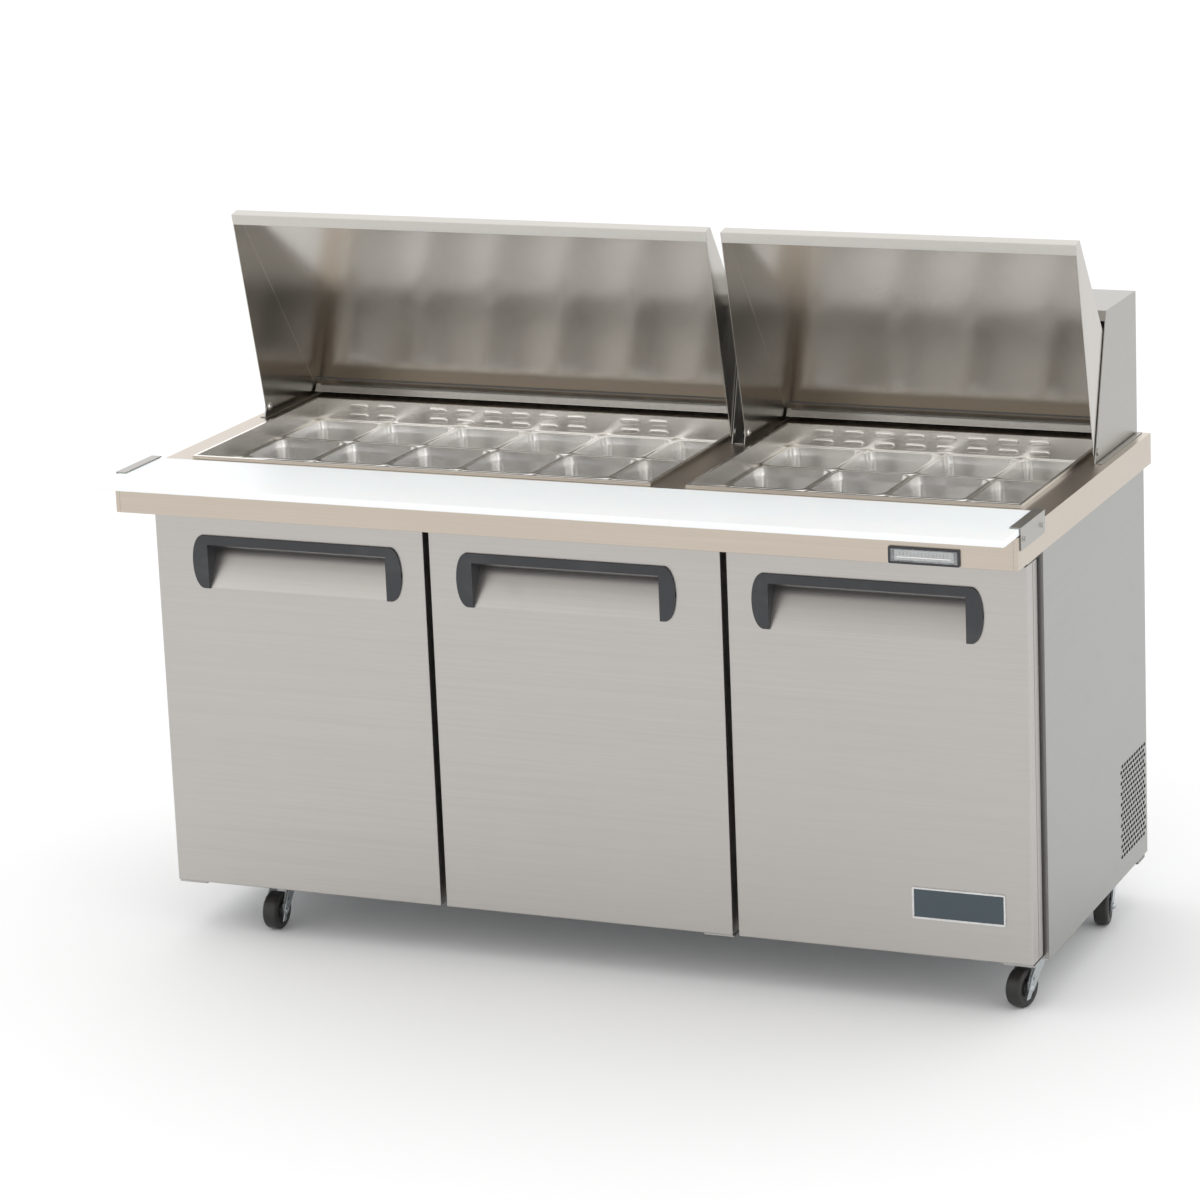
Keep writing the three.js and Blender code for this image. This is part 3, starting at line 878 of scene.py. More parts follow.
@dataclass
class Studio:
    """The floor, the soft light and the camera."""

    focal: float = 4229.0
    centre: tuple[float, float] = (708.0, 480.0)
    place: Triple = (3.1845, -7.409, 2.848)
    azimuth: float = 22.16
    elevation: float = 13.45
    roll: float = -2.0
    frame_width: float = 1200.0
    sensor: float = 36.0
    sun_turn: Triple = (-34.0, -14.0, 0.0)
    sun_spread: float = 90.0
    sun_power: float = 0.4
    lights: tuple[tuple[Triple, float, float], ...] = (
        ((-3.4, -3.2, 4.4), 4.5, 26.0),
        ((4.2, -1.6, 3.2), 4.0, 16.0),
    )
    lit_point: Triple = (0.0, 0.0, 0.6)
    clip: tuple[float, float] = (0.05, 100.0)
    floor_size: float = 60.0
    floor_drop: float = 0.0005
    surround: float = 1.04

    def build(self) -> None:
        """Makes everything that isn't the object."""
        self._camera()
        self._floor()
        self._light()

    def _camera(self) -> None:
        """Places the camera with a small shift."""
        data = bpy.data.cameras.new("camera")
        camera = bpy.data.objects.new("camera", data)
        bpy.context.scene.collection.objects.link(camera)
        bpy.context.scene.camera = camera
        data.sensor_width = self.sensor
        data.lens = self.focal * self.sensor / self.frame_width
        data.shift_x = (self.frame_width / 2 - self.centre[0]) / self.frame_width
        data.shift_y = (self.centre[1] - self.frame_width / 2) / self.frame_width
        data.clip_start, data.clip_end = self.clip
        azimuth, elevation = math.radians(self.azimuth), math.radians(self.elevation)
        ahead = Vector(
            (
                -math.sin(azimuth) * math.cos(elevation),
                math.cos(azimuth) * math.cos(elevation),
                -math.sin(elevation),
            )
        )
        camera.location = self.place
        camera.rotation_mode = "QUATERNION"
        level = ahead.to_track_quat("-Z", "Y")
        camera.rotation_quaternion = level @ Quaternion((0, 0, 1), math.radians(self.roll))

    def _floor(self) -> None:
        """A pale floor."""
        bpy.ops.object.select_all(action="DESELECT")
        bpy.ops.mesh.primitive_plane_add(
            size=self.floor_size, location=(0, 0, -self.floor_drop)
        )
        floor = bpy.context.active_object
        floor.name = "floor"
        recipe = Recipe("pale_floor")
        cloud = recipe.noise((0.8, 0.8, 0.8), 2.0)
        recipe.set(
            Base_Color=recipe.blend(cloud, (0.90, 0.90, 0.90, 1), (0.92, 0.92, 0.92, 1)),
            Roughness=cloud * 0.1 + 0.7,
            Specular_IOR_Level=0.2,
        )
        floor.data.materials.append(recipe.material)

    def _light(self) -> None:
        """Soft panels and a pale surround."""
        world = bpy.context.scene.world or bpy.data.worlds.new("surround")
        bpy.context.scene.world = world
        world.use_nodes = True
        ground = world.node_tree.nodes["Background"]
        ground.inputs["Color"].default_value = (1.0, 1.0, 1.0, 1.0)
        ground.inputs["Strength"].default_value = self.surround
        for number, (place, size, power) in enumerate(self.lights):
            data = bpy.data.lights.new(f"panel_{number}", "AREA")
            data.shape, data.size, data.energy = "SQUARE", size, power
            lamp = bpy.data.objects.new(f"panel_{number}", data)
            bpy.context.scene.collection.objects.link(lamp)
            lamp.location = place
            aim = Vector(self.lit_point) - lamp.location
            lamp.rotation_mode = "QUATERNION"
            lamp.rotation_quaternion = aim.to_track_quat("-Z", "Y")
        data = bpy.data.lights.new("sky_panel", "SUN")
        data.angle, data.energy = math.radians(self.sun_spread), self.sun_power
        lamp = bpy.data.objects.new("sky_panel", data)
        bpy.context.scene.collection.objects.link(lamp)
        lamp.rotation_euler = tuple(math.radians(angle) for angle in self.sun_turn)
        bpy.context.scene.view_settings.view_transform = "Standard"


# ---------------------------------------------------------------- cabinet


@dataclass
class Cabinet:
    """The insulated body: panels, frame, liner, base, grille and the fixings behind."""

    grille_y: tuple[float, float] = (274.0, 446.0)
    grille_z: tuple[float, float] = (138.0, 356.0)
    hole_length: float = 13.2
    hole_height: float = 7.0
    pitch_y: float = 17.2
    pitch_z: float = 10.9
    cut_over: float = 5.0
    lip_low: Triple = (888.0, 398.0, 84.0)
    lip_high: Triple = (907.0, 456.0, 96.6)
    lip_slant: float = 9.0
    screw_inset: float = 14.0
    screw_drop: float = 20.0
    seam_screws_z: float = 680.0
    cover_screws_z: float = 418.0

    def build(self) -> None:
        """Models the cabinet's pieces."""
        for node, finish in {
            "base_pan": Finish.GALVANISED,
            "back_panel": Finish.GALVANISED,
            "machine_cover": Finish.GALVANISED,
            "insulation_body": Finish.FOAM,
            "cabinet_liner": Finish.LINER,
        }.items():
            PALETTE.coat_node(node, finish)
        self._right_panel()
        Bench.dress("left_side_panel", "left_side_skin", "table", Finish.SIDE_STEEL, 0.6)
        Bench.dress("front_frame", "door_frame", "table", Finish.FRAME_STEEL_AND_SEAM_SHADE, 1.0)
        self._back_screws()
        self._drain_lip()

    def _drain_lip(self) -> None:
        """The dark lip of the drain tray under the machine's corner."""
        lip = Bench.block("drain_tray_lip", self.lip_low, self.lip_high)
        with Bench.editing(lip):
            middle = (self.lip_low[2] + self.lip_high[2]) / 2
            front = self.lip_low[1] + 1
            Bench.pick(lip, Part.VERT, lambda p: p.z < middle and p.y < front)
            Bench.push(y=self.lip_slant)
        Bench.soften(lip, 1.2)
        Bench.settle(lip, "table", Finish.ENAMEL)

    def _right_panel(self) -> None:
        """The right side skin, with its staggered slots in the machine's corner."""
        low, high = box_of("right_side_panel")
        panel = Bench.block("right_side_skin", low, high)
        front, bottom = self.grille_y[0], self.grille_z[0]
        cutter = Bench.block(
            "slots",
            (low.x - self.cut_over, front, bottom),
            (high.x + self.cut_over, front + self.hole_length, bottom + self.hole_height),
        )
        with Bench.editing(cutter):
            Bench.pick(cutter, Part.EDGE, lambda a, b: abs(a.x - b.x) > 1)
            Bench.round_off(self.hole_height / 2 - 0.05, 4)
        columns = int((self.grille_y[1] - self.grille_y[0]) // self.pitch_y)
        rows = int((self.grille_z[1] - self.grille_z[0]) // (2 * self.pitch_z))
        Bench.repeat(cutter, columns, y=self.pitch_y)
        other = Bench.copy(cutter, "slots_between", y=self.pitch_y / 2, z=self.pitch_z)
        cutter = Bench.join("slots", other, cutter)
        Bench.repeat(cutter, rows, z=2 * self.pitch_z)
        Bench.subtract(panel, cutter)
        Bench.settle(panel, "table", Finish.SIDE_STEEL, ["right_side_panel"], weighted=False)

    def _back_screws(self) -> None:
        """Screws round the back panel and the machine cover."""
        low, high = box_of("back_panel")
        left, right = low.x + self.screw_inset, high.x - self.screw_inset
        top = high.z - self.screw_drop
        first = Bench.dome("back_screw_1", (left, high.y, top), 4.0, 2.6, (-90, 0, 0))
        Bench.settle(first, "table", Finish.ZINC)
        spots = [(x, top) for x in (-450.0, 0.0, 450.0, right)]
        spots += [(x, self.seam_screws_z) for x in (left, right)]
        spots += [(x, self.cover_screws_z) for x in (left, -300.0, 300.0, right)]
        for number, (x, z) in enumerate(spots, 2):
            extra = Bench.copy(first, f"back_screw_{number}", x=x - left, z=z - top)
            Bench.settle(extra, "table", Finish.ZINC)


# ---------------------------------------------------------------- doors


@dataclass
class Door:
    """One foamed door with its recessed handle, gasket and hinge brackets."""

    side: str
    edge_radius: float = 3.0
    pocket_half: float = 198.0
    pocket_height: float = 103.0
    pocket_depth: float = 42.0
    slope_rise: float = 77.0
    recess: float = 15.3
    seam_back: float = 36.0
    seam_width: float = 1.8
    seam_depth: float = 1.3
    end_width: float = 24.0
    fullness: float = 2.1
    arch_thickness: float = 3.7
    arch_bar: float = 19.0
    lip_radius: float = 5.0
    lining_wall: float = 2.6

    def build(self) -> None:
        """Models the door's pieces."""
        self.body = f"{self.side}_door"
        handle_low, handle_high = box_of(f"{self.side}_door_handle")
        self.middle = (handle_low.x + handle_high.x) / 2
        self.pocket_low = handle_low.z
        self.reach = (handle_high.x - handle_low.x) / 2
        self._shell()
        self._handle(handle_low, handle_high)
        door = f"{self.side}_door"
        Bench.dress(f"{door}_liner", f"{door}_inner_skin", self.body, Finish.LINER, 0.8)
        Bench.dress(f"{door}_gasket", f"{door}_seal", self.body, Finish.GASKET, 4.0, 4)
        for end in ("lower", "upper"):
            node, name = f"{door}_{end}_hinge", f"{door}_{end}_bracket"
            Bench.dress(node, name, "table", Finish.FOLDED_STEEL, 0.9)

    def _shell(self) -> None:
        """The steel skin with its sloping pocket, and the step that holds the inner skin."""
        low, high = box_of(f"{self.side}_door_shell")
        shell = Bench.block(f"{self.side}_door_skin", low, high)
        left, right = self.middle - self.pocket_half, self.middle + self.pocket_half
        bottom, top = self.pocket_low, self.pocket_low + self.pocket_height
        with Bench.editing(shell):
            Bench.pick(shell, Part.EDGE, lambda a, b: min(a.y, b.y) < high.y - 1)
            Bench.round_off(self.edge_radius, 4)
            for y in (self.seam_back - self.seam_width, self.seam_back):
                Bench.score((0, low.y + y, 0), (0, 1, 0))
            Bench.pick(
                shell,
                Part.FACE,
                lambda c, n: abs(n.y) < 0.3
                and self.seam_back - self.seam_width < c.y - low.y < self.seam_back,
            )
            bpy.ops.mesh.inset(thickness=0.05 * MM, depth=-self.seam_depth * MM)
            for x in (left, right):
                Bench.score((x, 0, 0), (1, 0, 0))
            for z in (bottom, top):
                Bench.score((0, 0, z), (0, 0, 1))
            Bench.pick(
                shell,
                Part.FACE,
                lambda c, n: n.y < -0.9 and left < c.x < right and bottom < c.z < top,
            )
            Bench.pull(y=self.pocket_depth)
            Bench.pick(
                shell,
                Part.VERT,
                lambda p: abs(p.y - low.y - self.pocket_depth) < 0.1 and abs(p.z - bottom) < 0.1,
            )
            Bench.push(z=self.slope_rise)
            Bench.pick(
                shell,
                Part.EDGE,
                lambda a, b: abs(a.x - b.x) > 300
                and abs(a.y - b.y) < 0.1
                and (
                    (abs(a.z - bottom) < 0.1 and a.y < low.y + 0.1 and abs(b.z - a.z) < 0.1)
                    or (abs(a.z - bottom - self.slope_rise) < 0.1 and abs(b.z - a.z) < 0.1)
                ),
            )
            Bench.round_off(self.lip_radius, 4)
            Bench.pick(shell, Part.FACE, lambda c, n: n.y > 0.9 and abs(c.y - high.y) < 0.1)
            bpy.ops.mesh.inset(thickness=1.5 * MM)
            Bench.pull(y=-self.recess)
        node = f"{self.side}_door_shell"
        Bench.settle(shell, self.body, Finish.DOOR_STEEL, [node], smooth=40)

    def _handle(self, low: Vector, high: Vector) -> None:
        """The moulded arch over the pocket, with its tapering ends and its lining.

        Args:
            low: the lowest corner of the handle's node.
            high: its highest corner.
        """
        front, back = low.y, low.y + self.arch_thickness
        name = f"{self.side}_door_pull"
        arch = Bench.block(name, (low.x, front, low.z), (high.x, back, high.z))
        with Bench.editing(arch):
            across, rise = self.end_width, (high.z - low.z) / 2
            middle_x, middle_z = self.reach - across, (high.z + low.z) / 2
            for number in range(-8, 9):
                angle = number * math.pi / 18
                u = math.cos(angle) ** (2 / self.fullness)
                v = math.copysign(abs(math.sin(angle)) ** (2 / self.fullness), number)
                out_x = u ** (self.fullness - 1) / across
                out_z = math.copysign(abs(v) ** (self.fullness - 1), v) / rise
                for way in (-1, 1):
                    Bench.score(
                        (self.middle + way * (middle_x + across * u), 0, middle_z + rise * v),
                        Vector((way * out_x, 0, out_z)).normalized(),
                        cut_away=True,
                    )
        inner = self.pocket_half - 3.5
        mouth = Bench.block(
            "mouth",
            (self.middle - inner, front - 5, low.z - 5),
            (self.middle + inner, back + 5, high.z - self.arch_bar),
        )
        Bench.subtract(arch, mouth)
        Bench.soften(arch, 1.1, 3, 40)
        half = self.pocket_half - 0.4
        bottom, top = low.z, low.z + self.pocket_height - 0.4
        deep = back + self.pocket_depth - 0.7
        lining = Bench.block(
            name + "_lining",
            (self.middle - half, back - 1.5, bottom),
            (self.middle + half, deep, top),
        )
        with Bench.editing(lining):
            Bench.score(
                (self.middle, back - 0.3, bottom + 1.4),
                (0, self.slope_rise, -self.pocket_depth),
                cut_away=True,
            )
        hollow = Bench.block(
            "hollow",
            (self.middle - half + self.lining_wall, back - 9, bottom - 20),
            (self.middle + half - self.lining_wall, deep + 9, top - 2),
        )
        Bench.subtract(lining, hollow)
        Bench.soften(lining, 0.5, 2, 40)
        handle = Bench.join(name, lining, arch)
        Bench.settle(handle, self.body, Finish.CHARCOAL, [f"{self.side}_door_handle"])


@dataclass
class NamePlate:
    """A blank plate in a light rim."""

    rim: float = 3.4

    def build(self) -> None:
        """Models the plate and its rim."""
        low, high = box_of("name_plate")
        plate = Bench.block("name_plate_field", low, high)
        with Bench.editing(plate):
            Bench.pick(plate, Part.EDGE, lambda a, b: abs(a.y - b.y) > 1)
            Bench.round_off(3.0, 4)
            Bench.pick(plate, Part.FACE, lambda c, n: n.y < -0.9)
            bpy.ops.mesh.inset(thickness=self.rim * MM)
            Bench.pull(y=0.8)
        Bench.soften(plate, 0.25)
        Bench.settle(plate, "right_door", Finish.PLATE_RIM, ["name_plate"])
        inner = self.rim + 0.3
        field_piece = Bench.block(
            "name_plate_enamel",
            (low.x + inner, low.y + 0.5, low.z + inner),
            (high.x - inner, low.y + 1.2, high.z - inner),
        )
        Bench.soften(field_piece, 0.2)
        Bench.settle(field_piece, "right_door", Finish.SLATE)


# ---------------------------------------------------------------- top


@dataclass
class Worktop:
    """The countertop, the cutting board and its end brackets, and the thermometer."""

    board_radius: float = 2.0
    bolt_y: tuple[float, float] = (-365.0, -260.0)
    bolt_z: float = 955.0
    bracket_face: float = 925.9
    seam_inset: float = 9.0
    seam_half: float = 0.5
    seam_z: tuple[float, float] = (903.0, 961.0)
    window_frame: float = 4.2
    tick_count: int = 14
    tick_step: float = 7.0

    def build(self) -> None:
        """Models the worktop's pieces."""
        Bench.dress("countertop", "worktop", "table", Finish.TOP_STEEL, 1.2, 3)
        low, high = box_of("cutting_board")
        board = Bench.block("board", low, high)
        with Bench.editing(board):
            Bench.pick(board, Part.EDGE, lambda a, b: abs(a.z - b.z) > 1)
            Bench.round_off(4.0, 4)
        Bench.soften(board, self.board_radius, 4, 40)
        Bench.settle(board, "table", Finish.BOARD, ["cutting_board"])
        for side, way in (("left", -1), ("right", 1)):
            bracket = f"{side}_board_bracket"
            Bench.dress(bracket, f"{side}_board_stop", "table", Finish.HOOD_STEEL, 0.5)
            for number, y in enumerate(self.bolt_y, 1):
                spot = (self.bracket_face * way, y, self.bolt_z)
                name = f"{side}_board_bolt_{number}"
                bolt = Bench.dome(name, spot, 4.6, 3.2, (0, way * 90, 0))
                Bench.settle(bolt, "table", Finish.BRIGHT_STEEL)
        top_low, _ = box_of("countertop")
        # Each apron seam is a real joint, drawn as a thin proud strip in darker frame steel: its
        # darker tone is painted shade standing for the shadow in the joint's gap.
        for side, way in (("left", -1), ("right", 1)):
            x = way * (abs(top_low.x) - self.seam_inset)
            seam = Bench.block(
                f"{side}_apron_seam_shadow",
                (x - self.seam_half, top_low.y - 0.2, self.seam_z[0]),
                (x + self.seam_half, top_low.y + 0.6, self.seam_z[1]),
            )
            Bench.soften(seam, 0.15)
            Bench.settle(seam, "table", Finish.FRAME_STEEL_AND_SEAM_SHADE)
        self._thermometer()

    def _thermometer(self) -> None:
        """A moulded housing with a clear window over a plain scale."""
        low, high = box_of("thermometer")
        housing = Bench.block("thermometer_housing", low, high)
        with Bench.editing(housing):
            Bench.pick(housing, Part.EDGE, lambda a, b: abs(a.y - b.y) > 1)
            Bench.round_off(2.5, 3)
            Bench.pick(housing, Part.FACE, lambda c, n: n.y < -0.9)
            bpy.ops.mesh.inset(thickness=4.0 * MM)
            Bench.pull(y=2.6)
        Bench.soften(housing, 0.4)
        Bench.settle(housing, "table", Finish.CHARCOAL, ["thermometer"])
        scale = Bench.block(
            "thermometer_scale",
            (low.x + 12, low.y + 1.6, low.z + 7),
            (high.x - 12, low.y + 2.4, high.z - 6),
        )
        Bench.soften(scale, 0.2)
        Bench.settle(scale, "table", Finish.DIAL)
        ticks = []
        tick_top = high.z - 10
        for number in range(self.tick_count):
            x = low.x + 22 + number * self.tick_step
            foot = tick_top - (9 if number % 3 == 0 else 5)
            ticks.append(
                Bench.block(
                    f"tick_{number}", (x, low.y + 1.3, foot), (x + 0.8, low.y + 1.7, tick_top)
                )
            )
        marks = Bench.join("thermometer_marks", *ticks)
        Bench.settle(marks, "table", Finish.CHARCOAL)
        middle, length = ((low.x + high.x) / 2, low.y + 1.4, low.z + 13), high.x - low.x - 34
        tube = Bench.rod("thermometer_tube", middle, 1.6, length, (0, 90, 0))
        Bench.soften(tube, 0.4)
        Bench.settle(tube, "table", Finish.BRIGHT_STEEL)
        edge = self.window_frame
        pane = Bench.block(
            "thermometer_window",
            (low.x + edge, low.y + 0.3, low.z + edge),
            (high.x - edge, low.y + 0.9, high.z - edge),
        )
        Bench.soften(pane, 0.15)
        Bench.settle(pane, "table", Finish.CLEAR)


@dataclass
class PanWell:
    """One well with its louvred back wall and its lift-out food pans."""

    side: str
    columns: int
    pitch_x: float
    louvres: tuple[float, ...]
    inner_left: float
    rows: int = 3
    pitch_y: float = 535.0 / 3
    inner_front: float = -178.0
    back_wall: float = 357.0
    louvre_rows: tuple[float, float] = (956.5, 936.0)
    louvre_size: tuple[float, float] = (44.0, 13.5)
    rim_top: float = 924.0
    pan_floor: float = 825.0
    pan_clearance: float = 0.2
    cup_margin: tuple[float, float] = (7.2, 8.2)
    rim_margin: float = 1.0
    draft: Triple = (0.90, 0.905, 1.0)
    corner_radius: float = 19.0
    foot_radius: float = 7.0
    shoulder: tuple[float, float] = (14.0, 16.5)
    shoulder_step: Triple = (0.988, 0.989, 1.0)
    pan_sheet: float = 0.8

    def build(self) -> None:
        """Models the well, the louvres and the pans."""
        node = f"{self.side}_pan_well"
        Bench.dress(node, f"{self.side}_well", "table", Finish.WELL_STEEL, 1.1, 3)
        self._louvres()
        self._pans()

    def _louvres(self) -> None:
        """Pressed scoops along the back wall."""
        first = start = None
        for row, z in enumerate(self.louvre_rows, 1):
            for column, offset in enumerate(self.louvres, 1):
                x = self.inner_left + offset
                name = f"{self.side}_louvre_{row}_{column}"
                if first is None:
                    first = made = self._louvre(name, x, z)
                    start = (x, z)
                else:
                    made = Bench.copy(first, name, x=x - start[0], z=z - start[1])
                Bench.settle(made, "table", Finish.WELL_STEEL)

    def _louvre(self, name: str, x: float, z: float) -> Piece:
        """One scoop: a rounded raised lip over a slot.

        Args:
            name: the piece's name.
            x: its middle along x.
            z: its middle along z.

        Returns:
            The scoop.
        """
        length, height = self.louvre_size
        face = self.back_wall - 3.6
        made = Bench.block(
            name,
            (x - length / 2, face, z - height / 2),
            (x + length / 2, self.back_wall + 0.4, z + height / 2),
        )
        with Bench.editing(made):
            Bench.pick(made, Part.EDGE, lambda a, b: abs(a.y - b.y) > 1)
            Bench.round_off(height / 2 - 0.1, 6)
            Bench.pick(made, Part.FACE, lambda c, n: n.y < -0.9)
            Bench.stretch((0.93, 1, 0.80), (x, face, z + 0.6))
            Bench.push(z=0.5)
            Bench.pick(made, Part.EDGE, lambda a, b: max(a.y, b.y) < face + 0.05)
            Bench.round_off(2.4, 4)
            Bench.pick(made, Part.FACE, lambda c, n: n.z < -0.8 and abs(c.x - x) < 2)
            bpy.ops.mesh.inset(thickness=0.7 * MM)
            Bench.pull(z=1.6)
        return made

    def _pans(self) -> None:
        """A pan for every place, pressed once and copied."""
        first = None
        node = f"{self.side}_pans"
        x0 = self.inner_left + self.pitch_x / 2
        y0 = self.inner_front + self.pitch_y / 2
        for column in range(self.columns):
            for row in range(self.rows):
                name = f"{self.side}_pan_{column + 1}_{row + 1}"
                if first is None:
                    first = made = self._pan(name, x0, y0)
                else:
                    made = Bench.copy(first, name, x=column * self.pitch_x, y=row * self.pitch_y)
                Bench.settle(made, "table", Finish.BRIGHT_STEEL, [node])

    def _pan(self, name: str, x: float, y: float) -> Piece:
        """One deep-drawn pan with a rolled rim.

        Args:
            name: the piece's name.
            x: its middle along x.
            y: its middle along y.

        Returns:
            The pan.
        """
        top = self.rim_top - self.pan_clearance
        cup_x, cup_y = self.pitch_x / 2 - self.cup_margin[0], self.pitch_y / 2 - self.cup_margin[1]
        pan = Bench.block(
            name, (x - cup_x, y - cup_y, self.pan_floor), (x + cup_x, y + cup_y, top)
        )
        rim_x, rim_y = self.pitch_x / 2 - self.rim_margin, self.pitch_y / 2 - self.rim_margin
        with Bench.editing(pan):
            Bench.pick(pan, Part.FACE, lambda c, n: n.z > 0.9)
            bpy.ops.mesh.delete(type="FACE")
            Bench.pick(pan, Part.VERT, lambda p: p.z < self.pan_floor + 1)
            Bench.stretch(self.draft, (x, y, self.pan_floor))
            Bench.pick(pan, Part.EDGE, lambda a, b: abs(a.z - b.z) > 50)
            Bench.round_off(self.corner_radius, 7)
            Bench.pick(pan, Part.EDGE, lambda a, b: max(a.z, b.z) < self.pan_floor + 1)
            Bench.round_off(self.foot_radius, 4)
            for depth in self.shoulder:
                Bench.score((0, 0, top - depth), (0, 0, 1))
            Bench.pick(pan, Part.VERT, lambda p: p.z < top - 15)
            Bench.stretch(self.shoulder_step, (x, y, self.pan_floor))
            Bench.pick(pan, Part.EDGE, lambda a, b: min(a.z, b.z) > top - 0.1)
            for grow_x, grow_y, rise in (
                (2.0, 2.0, 0.0),
                (rim_x - cup_x - 1.4, rim_y - cup_y - 1.4, 0.0),
                (rim_x - cup_x - 0.4, rim_y - cup_y - 0.4, -0.7),
                (rim_x - cup_x, rim_y - cup_y, -1.9),
                (rim_x - cup_x, rim_y - cup_y, -4.2),
            ):
                self._flare(pan, (x, y, top + rise), (cup_x + grow_x, cup_y + grow_y))
        Bench.modify(pan, "SOLIDIFY", thickness=self.pan_sheet * MM, offset=-1.0)
        return pan

    def _flare(self, pan: Piece, centre: Triple, reach: tuple[float, float]) -> None:
        """Extrudes the open edge outwards, keeping its corners round.

        Args:
            pan: the pan being edited, with its open edge selected.
            centre: the pan's middle at the new edge's height.
            reach: how far the new edge stands from the middle along x and y.
        """
        x, y, height = centre
        shape = bmesh.from_edit_mesh(pan.data)
        picked = [v.co.copy() for v in shape.verts if v.select]
        old_x = max(abs(p.x / MM - x) for p in picked)
        old_y = max(abs(p.y / MM - y) for p in picked)
        Bench.pull(z=height - picked[0].z / MM)
        Bench.stretch((reach[0] / old_x, reach[1] / old_y, 1), centre)


@dataclass
class Hood:
    """One hood with the lid that swings up out of it."""

    side: str
    pivot: tuple[float, float] = (200.0, 985.0)
    tip: tuple[float, float] = (111.4, 1413.6)
    heel: tuple[float, float] = (425.0, 968.0)
    cheek: float = 2.1
    foot_width: float = 9.0
    foot_z: tuple[float, float] = (963.2, 965.2)

    def build(self) -> None:
        """Models the hood, the lid and their fixings."""
        node, lid_node = f"{self.side}_hood", f"{self.side}_lid"
        Bench.dress(node, f"{node}_shell", "table", Finish.HOOD_STEEL, 1.1, 3)
        Bench.dress(lid_node, f"{lid_node}_shell", lid_node, Finish.LID_STEEL, 0.9)
        low, high = box_of(node)
        lid_low, lid_high = box_of(lid_node)
        for hand, way, x, cheek_x in (
            ("left", -1, low.x, lid_low.x + self.cheek),
            ("right", 1, high.x, lid_high.x - self.cheek),
        ):
            name, spot = f"{self.side}_pivot_bolt_{hand}", (cheek_x, *self.pivot)
            bolt = Bench.dome(name, spot, 7.5, 4.5, (0, -way * 90, 0))
            Bench.settle(bolt, lid_node, Finish.BRIGHT_STEEL)
            outer = x + way * self.foot_width
            foot = Bench.block(
                f"{self.side}_hood_foot_{hand}",
                (min(x, outer), low.y + 4, self.foot_z[0]),
                (max(x, outer), high.y - 6, self.foot_z[1]),
            )
            Bench.soften(foot, 0.6)
            Bench.settle(foot, "table", Finish.HOOD_STEEL)
        self._stiffener(lid_node, lid_low, lid_high)

    def _stiffener(self, body: str, low: Vector, high: Vector) -> None:
        """The folded ledge near the heel of the lid's panel, with a dark rubber strip above it that
        is painted shadow: it stands for the shaded gap at the ledge's edge.

        Args:
            body: the lid's body.
            low: the lid's lowest corner.
            high: its highest corner.
        """
        along = Vector((0, self.heel[0] - self.tip[0], self.heel[1] - self.tip[1]))
        along.normalize()
        slope = math.degrees(math.atan2(-along.z, along.y))
        inward = Vector((0, -math.sin(math.radians(slope)), -math.cos(math.radians(slope))))
        heel = Vector((0, *self.heel))
        for name, middle, width, proud, finish in (
            ("ledge", 27.0, 34.0, 1.6, Finish.LID_STEEL),
            # The second strip is painted shadow: dark rubber laid where the lid shows the thin dark
            # line of a gap, not a real part.
            ("seal", 47.5, 3.2, 1.2, Finish.GASKET),
        ):
            centre = heel - along * middle + inward * (2.0 + proud / 2)
            made = Bench.block(
                f"{self.side}_lid_{name}",
                (low.x + 6, centre.y - width / 2, centre.z - proud / 2),
                (high.x - 6, centre.y + width / 2, centre.z + proud / 2),
            )
            Bench.turn(made, -slope, "X", centre)
            Bench.soften(made, 0.5)
            Bench.settle(made, body, finish)


# ---------------------------------------------------------------- inside


@dataclass
class WireShelf:
    """One coated wire shelf."""

    node: str
    wire: float = 2.4
    gap: float = 22.0
    bar_radius: float = 2.6
    end_inset: float = 6.0

    def build(self) -> None:
        """Models the rim, the cross bars and the slats."""
        low, high = box_of(self.node)
        centre = (low + high) / 2
        long, deep = high.x - low.x, high.y - low.y
        bars = []
        for y in (low.y + 3, centre.y, high.y - 3):
            middle = (centre.x, y, centre.z - 0.4)
            bars.append(Bench.rod("bar", middle, self.bar_radius, long - 6, (0, 90, 0), 10))
        span = long - 2 * self.end_inset
        count = int(span // self.gap)
        start = (low.x + self.end_inset, centre.y, centre.z + 0.9)
        slat = Bench.rod("slat", start, self.wire / 2, deep - 4, (90, 0, 0), 8)
        Bench.repeat(slat, count + 1, x=span / count)
        shelf = Bench.join(f"{self.node}_wires", slat, *bars)
        Bench.settle(shelf, "table", Finish.COATED_WIRE, [self.node], weighted=False)


